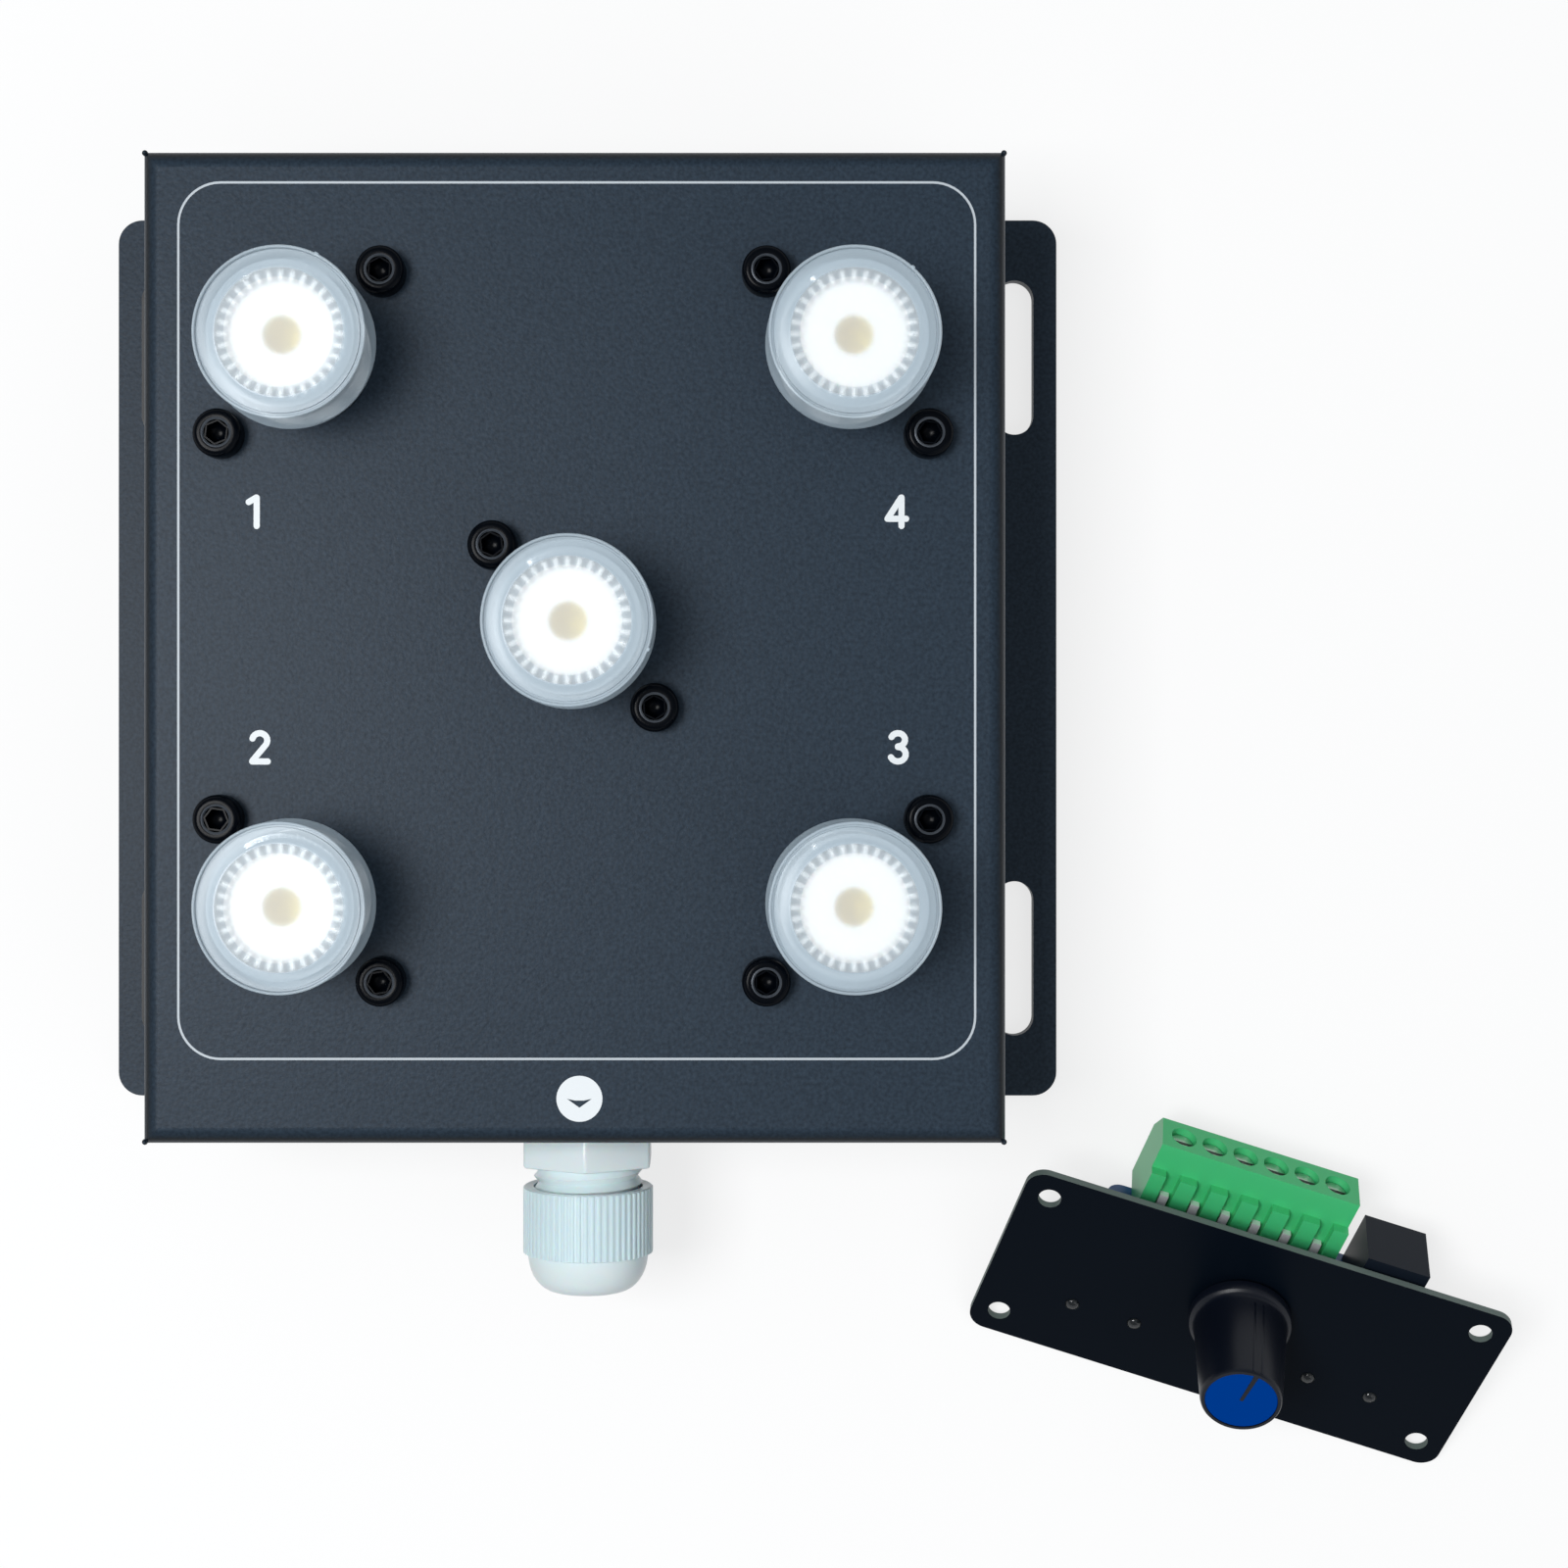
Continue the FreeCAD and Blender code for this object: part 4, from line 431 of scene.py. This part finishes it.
def socket_shells():
    """Threaded nickel barrels with a serrated rim, with painted light on the serrations and painted shade
    between them; their flanges, which the cover hides, are drawn small.
    """
    half = 0.3
    tooth = [(5.82, -half * 0.8), (6.9, -half), (6.9, half), (5.82, half * 0.8)]
    for name, (x, y, _) in SOCKETS.items():
        place = Matrix.Translation((x, y, FLANGE))
        mesh = bmesh.new()
        thread(mesh, BARREL_RADIUS, THREAD_DEPTH, THREAD_PITCH, 0.0, THREAD_TOP, BARREL_BORE, place)
        # the rim below and between the serrations takes the painted shade
        lathe(mesh, [(BARREL_BORE, THREAD_TOP), (7.4, THREAD_TOP), (7.4, 13.9), (7.04, 14.6),
                     (BARREL_BORE, 14.6)], place, mark=1)
        # the serrations take the painted light
        for step in range(SERRATIONS):
            turn = place @ Matrix.Rotation(2 * math.pi * step / SERRATIONS, 4, "Z")
            prism(mesh, tooth, 14.55, BARREL_LENGTH, turn, mark=2, bevel=0.08)
        lathe(mesh, [(BARREL_BORE, -2.0), (12.0, -2.0), (12.0, 0.0), (BARREL_BORE, 0.0)], place, 4)
        lathe(mesh, [(BARREL_BORE, -2.0), (4.5, -2.0), (4.5, -5.0), (6.0, -5.0), (6.0, -2.0)], place)
        finish_piece("shell_" + name, mesh, [NICKEL, NICKEL_PAINTED_SHADE, NICKEL_PAINTED_LIGHT], "relay_box",
                     ["socket_shell_" + name], smooth=50.0)


def dust_caps():
    """Frosted caps with stepped rings on top, a bead at the open end and a moulding mark at the edge."""
    marks = {"1": 64.0, "4": 48.0, "common": -20.0}    # where around the cap the mark stands, in degrees
    # the thin top reaches out to rim, with a clearer ring from middle on in painted shade, between the
    # heights under and over
    middle, rim, under, over = 5.9, 6.9, 7.8, 8.75
    wall = [(rim, under), (7.95, under), (8.0, 7.7), (8.0, 0.05), (8.1, 0.0), (9.3, 0.0), (9.4, 0.1),
            (9.4, 0.9), (9.3, 1.1), (9.3, 8.7), (9.28, 8.88), (9.22, 8.98), (9.15, 9.0), (9.02, 9.0),
            (8.95, 8.92), (8.92, 8.35), (8.72, 8.35), (8.68, 8.65), (7.25, 8.65), (7.1, over), (rim, over)]
    foot = FLANGE + BARREL_LENGTH + CAP_AIR + CAP_TOP - CAP_HEIGHT
    for name, (x, y, _) in SOCKETS.items():
        place = (Matrix.Translation((x, y, foot))
                 @ Matrix.Rotation(math.radians(marks.get(name, 0.0)), 4, "Z"))
        mesh = bmesh.new()
        lathe(mesh, wall, place, 96, closed=False)
        lathe(mesh, [(0.0, under), (middle, under)], place, 96, closed=False, mark=1)
        lathe(mesh, [(middle, over), (0.0, over)], place, 96, closed=False, mark=1)
        # the ring near the rim carries the painted shade
        lathe(mesh, [(middle, under), (rim, under)], place, 96, closed=False, mark=2)
        lathe(mesh, [(rim, over), (middle, over)], place, 96, closed=False, mark=2)
        if name in marks:
            box(mesh, (9.1, -0.22, 8.1), (9.4, 0.22, 8.98), place, bevel=0.08)
        finish_piece("cap_" + name, mesh, [FROST, LID, LID_RIM], "dust_cap_" + name, ["dust_cap_" + name],
                     smooth=50.0)


def cap_screws():
    """Black socket-head screws with rounded heads; the hexagon's edge is painted grey as a highlight."""
    mesh = bmesh.new()
    head = [(1.72, 2.96), (2.1, 3.0), (2.42, 2.9), (2.64, 2.66), (2.75, 2.3), (2.75, 0.0), (1.5, 0.0),
            (1.5, -16.0), (0.0, -16.0)]
    # each hexagon stands at its own angle
    rng = random.Random(9)
    for x, y, sign in SOCKETS.values():
        for side in (1, -1):
            place = (Matrix.Translation((x + side * SCREW_OFFSET, y + side * sign * SCREW_OFFSET, FRONT))
                     @ Matrix.Rotation(rng.uniform(0, 1.05), 4, "Z"))
            lathe(mesh, head, place, 40, closed=False)
            # the ring round the hexagon carries the painted highlight
            lathe(mesh, [(1.72, 2.96), (1.6, 3.0), (1.44, 2.86)], place, 40, closed=False, mark=1)
            mouth, bottom = ([mesh.verts.new(place @ Vector((a, b, z))) for a, b in polygon(HEX_CORNER, 6)]
                             for z in (2.86, 1.4))
            for step in range(6):
                after = (step + 1) % 6
                mesh.faces.new([mouth[step], mouth[after], bottom[after], bottom[step]])
            lathe(mesh, [(HEX_CORNER, 1.4), (1.1, 1.1), (0.0, 0.4)], place, 6, closed=False)
            lathe(mesh, [(1.46, 2.86), (1.25, 2.86)], place, 6, closed=False)
    finish_piece("screws", mesh, [BLACK_STEEL, SCREW_EDGE_HIGHLIGHT], "relay_box", ["socket_screws"],
                 smooth=35.0)


def gland_parts():
    """Gland body with its hexagon and threaded neck, and the dome nut with fine ribs."""
    mesh = bmesh.new()
    hexagon = polygon(GLAND_FLATS / math.sqrt(3), 6, math.radians(30))
    prism(mesh, hexagon, HEX_FOOT, HEX_TOP, GLAND, bevel=0.35)
    thread(mesh, NECK_RADIUS, NECK_THREAD_DEPTH, NECK_THREAD_PITCH, 4.9, NECK_TOP, 5.55, GLAND)
    lathe(mesh, [(GLAND_BORE, -8.0), (6.25, -8.0), (6.25, 1.2), (GLAND_BORE, 1.2)], GLAND, 60)
    finish_piece("gland", mesh, [GLAND_GREY], "relay_box", ["gland_body"], smooth=40.0)

    mesh = bmesh.new()
    side = [(6.56, 7.65), (6.7, NUT_FOOT), (7.55, NUT_FOOT), (7.66, 7.75), (7.66, 15.5), (7.4, NUT_SHOULDER)]
    dome = bow(4.0, NUT_SHOULDER, 3.2, 4.5, 0.0, 90.0, 10)
    inside = [(3.75, 20.05), (3.6, 19.7), (3.6, 15.25), (6.56, 15.25)]
    lathe(mesh, side + dome + inside, GLAND, 90)
    rib = [(7.55, -0.3), (7.72, -0.24), (7.78, -0.1), (7.78, 0.1), (7.72, 0.24), (7.55, 0.3)]
    for step in range(NUT_RIBS):
        prism(mesh, rib, 7.75, 15.5, GLAND @ Matrix.Rotation(2 * math.pi * step / NUT_RIBS, 4, "Z"))
    finish_piece("dome_nut", mesh, [GLAND_GREY], "gland_nut", ["gland_nut"], smooth=35.0)


def stroke(mesh, points, width, level, place):
    """A flat line of ink through points, mitred at its bends and round at both ends."""
    spots = [Vector(point) for point in points]
    ways = [(b - a).normalized() for a, b in zip(spots, spots[1:])]
    left, right = [], []
    for step, spot in enumerate(spots):
        before, after = ways[max(step - 1, 0)], ways[min(step, len(ways) - 1)]
        way = (before + after).normalized()
        # a mitre at a sharp bend is cut short
        reach = width / 2 / max(way.dot(after), 0.4)
        side = Vector((-way.y, way.x)) * reach
        left.append(spot + side)
        right.append(spot - side)

    def fan(spot, way, turn):
        """Round end of the line."""
        side = Vector((-way.y, way.x)) * turn
        return [spot + (side * math.cos(a) + way * turn * math.sin(a)) * width / 2
                for a in (math.pi * k / 10 for k in range(1, 10))]

    ring = left + fan(spots[-1], ways[-1], 1) + right[::-1] + fan(spots[0], ways[0], -1)
    mesh.faces.new([mesh.verts.new(place @ Vector((p.x, p.y, level))) for p in ring])


# The numbers' strokes along their middle lines, in millimetres from each number's middle.
DIGITS = {
    "1": [[(0.35, 1.6), (0.35, -1.6)], [(-0.55, 1.1), (0.3, 1.6)]],
    "2": [bow(0.0, 0.78, 0.85, 0.82, 165, -35) + [(-0.85, -1.55)], [(-0.85, -1.6), (0.9, -1.6)]],
    "3": [bow(-0.02, 0.85, 0.8, 0.75, 155, -90), bow(-0.02, -0.78, 0.88, 0.82, 90, -155)],
    "4": [[(0.58, -1.6), (0.58, 1.6)], [(0.52, 1.58), (-1.0, -0.79)], [(-1.0, -0.79), (1.1, -0.79)]],
}
# Where each number stands on the cover.
NUMBER_PLACES = {"1": (-36.2, 15.3), "4": (36.4, 15.3), "2": (-35.5, -11.3), "3": (36.6, -11.3)}


def prints():
    """White ink on the cover: frame line, plain numbers, and a disc with an arrow towards the cable."""
    # the ink lies just proud of the paint, and each stroke a little above the last
    level, lift = FRONT + 0.02, 0.006
    pen = 0.7    # width of a number's strokes
    mesh = bmesh.new()
    left, right, low, high = -44.7, 45.3, -46.5, 52.5
    corner, half = 4.8, 0.13    # radius of the frame line's corners, and half its width
    ring = []
    for cx, cy, start in ((right - corner, high - corner, 0), (left + corner, high - corner, 90),
                          (left + corner, low + corner, 180), (right - corner, low + corner, 270)):
        for step in range(13):
            turn = math.radians(start + 90 * step / 12)
            ring.append((cx, cy, math.cos(turn), math.sin(turn)))
    inner, outer = ([mesh.verts.new((cx + reach * c, cy + reach * s, level)) for cx, cy, c, s in ring]
                    for reach in (corner - half, corner + half))
    for step in range(len(ring)):
        after = (step + 1) % len(ring)
        mesh.faces.new([inner[step], outer[step], outer[after], inner[after]]).material_index = 1
    for number, (x, y) in NUMBER_PLACES.items():
        for step, line in enumerate(DIGITS[number]):
            stroke(mesh, line, pen, level + lift * step, Matrix.Translation((x, y, 0)))
    disc_x, disc_y, disc_radius = 0.6, -51.0, 2.6
    mesh.faces.new([mesh.verts.new((disc_x + a, disc_y + b, level)) for a, b in polygon(disc_radius, 48)])
    finish_piece("ink", mesh, [INK, LINE_INK], "relay_box", smooth=0)

    mesh = bmesh.new()
    arrow = ((-1.4, 0.0), (0.0, -1.0), (1.4, 0.0), (0.5, -0.2), (-0.5, -0.2))
    mesh.faces.new([mesh.verts.new((disc_x + x, disc_y + y, level + 0.02)) for x, y in arrow])
    finish_piece("ink_arrow", mesh, [PAINT], "relay_box", smooth=0)


def cover_corners():
    """Small beads where the cover's bends meet at the corners."""
    across, along, level = 48.65, 56.0, 37.1
    mesh = bmesh.new()
    for sx in (-1, 1):
        for sy in (-1, 1):
            place = Matrix.Translation((sx * across, sy * along, level))
            lathe(mesh, [(0.0, -1.2), (0.3, -0.8), (0.34, 0.1), (0.24, 0.45), (0.0, 0.6)], place, 12,
                  closed=False)
    finish_piece("cover_beads", mesh, [PAINT], "relay_box", smooth=60.0)


# ---------------------------------------------------------------- the control unit

def knob():
    """Black grip with a skirt, two ridges down its side, and a blue disc in its top with a black pointer."""
    mesh = bmesh.new()
    profile = [(4.95, 0.0), (6.15, 0.0), (6.25, 0.1), (6.25, 1.3), (6.15, 1.45), (5.95, 1.58), (5.75, 1.75),
               (5.6, 2.25), (5.55, 3.4), (5.2, 8.9), (4.88, 13.6), (4.8, 14.0), (4.66, 14.2), (4.3, 14.2),
               (4.3, 13.1), (3.02, 13.1), (3.02, 4.4), (4.95, 4.4)]
    lathe(mesh, profile, KNOB, 96)
    # the grip narrows by 0.7 mm over 11.95 mm, and the ridges lean with it
    lean = KNOB @ Matrix.Translation((0, 0.16, 0)) @ Matrix.Rotation(math.atan(0.7 / 11.95), 4, "X")
    for x in (-0.52, 0.52):
        box(mesh, (x - 0.2, 5.2, 2.4), (x + 0.2, 5.56, 13.7), lean, bevel=0.1)
    finish_piece("grip", mesh, [KNOB_BLACK], "selector", ["knob"], smooth=35.0)

    mesh = bmesh.new()
    lathe(mesh, [(0.0, 14.12), (4.18, 14.12), (4.28, 14.05), (4.28, 13.2), (0.0, 13.2)], KNOB, 72,
          closed=False)
    finish_piece("knob_disc", mesh, [KNOB_BLUE], "selector", ["knob_cap"], smooth=35.0)

    mesh = bmesh.new()
    prism(mesh, [(-0.2, 0.0), (0.2, 0.0), (0.3, 4.5), (-0.3, 4.5)], 13.9, 14.17, KNOB)
    finish_piece("knob_pointer", mesh, [KNOB_BLACK], "selector")


def lamps():
    """Clear domes over the indicator lamps."""
    mesh = bmesh.new()
    for across in LAMP_ROW:
        place = UNIT @ Matrix.Translation((across, LAMP_LEVEL, PANEL_FACE))
        lathe(mesh, [(0.85, -0.2), (0.85, 0.05), (0.68, 0.25), (0.38, 0.38), (0.0, 0.42)], place, 24,
              closed=False)
    finish_piece("lamp_domes", mesh, [LENS], "control_unit", smooth=60.0)


# ---------------------------------------------------------------- studio

def studio():
    """White floor, a low white backdrop, a soft window from the left and a weaker fill."""
    # the floor lies a hair below the object, so that the two don't share a plane
    reach, level = 6, -0.00005
    corners = [(-reach, -reach, level), (reach, -reach, level), (reach, reach, level), (-reach, reach, level)]
    mesh = bpy.data.meshes.new("sweep")
    mesh.from_pydata(corners, [], [(0, 1, 2, 3)])
    mesh.materials.append(FLOOR)
    sweep = bpy.data.objects.new("sweep", mesh)
    bpy.context.scene.collection.objects.link(sweep)
    world = bpy.data.worlds.new("studio")
    bpy.context.scene.world = world
    world.use_nodes = True
    tree = world.node_tree
    place = add(tree, "TexCoord")
    way = add(tree, "SeparateXYZ", {0: place.outputs["Generated"]})
    rise = add(tree, "MapRange", {"Value": way.outputs["Z"], "From Min": 0.0, "From Max": 0.9,
                                  "To Min": 0.12, "To Max": 0.45})
    # the white backdrop stands low behind the object
    low = add(tree, "MapRange", {"Value": way.outputs["Z"], "From Min": 0.35, "From Max": 0.5,
                                 "To Min": 1.0, "To Max": 0.0})
    white = add(tree, "Math", {0: low.outputs["Result"], 1: in_view(tree).outputs[0]}, operation="MULTIPLY")
    strength = add(tree, "Math", {0: rise.outputs["Result"], 1: white.outputs[0]}, operation="MAXIMUM")
    sky = tree.nodes["Background"]
    sky.inputs["Color"].default_value = (0.95, 0.98, 1.0, 1.0)
    tree.links.new(strength.outputs[0], sky.inputs["Strength"])
    # place and aim in metres, side in metres, and power in watts
    for name, spot, aim, size, power in (
            ("window", (-0.27, 0.0, 0.75), (0.0, 0.0, 0.03), 0.28, 4.2),
            ("fill", (0.5, -0.4, 0.6), (0.0, 0.0, 0.0), 0.6, 0.8)):
        data = bpy.data.lights.new(name, "AREA")
        data.size = size
        data.energy = power
        lamp = bpy.data.objects.new(name, data)
        lamp.location = spot
        lamp.rotation_euler = (Vector(aim) - Vector(spot)).to_track_quat("-Z", "Y").to_euler()
        bpy.context.scene.collection.objects.link(lamp)


def camera():
    """Looks straight down, a little right of and below the box's middle; the shift brings the unit in."""
    data = bpy.data.cameras.new("camera")
    data.sensor_width = 36.0
    data.lens = 60.98
    data.shift_x = 0.0537
    data.shift_y = -0.0234
    data.clip_start = 0.01
    view = bpy.data.objects.new("camera", data)
    view.location = (0.0142, -0.0113, 0.338)
    bpy.context.scene.collection.objects.link(view)
    bpy.context.scene.camera = view


tint_nodes()
socket_shells()
dust_caps()
cap_screws()
gland_parts()
prints()
cover_corners()
knob()
lamps()
studio()
camera()
bpy.context.scene.view_settings.view_transform = "Standard"
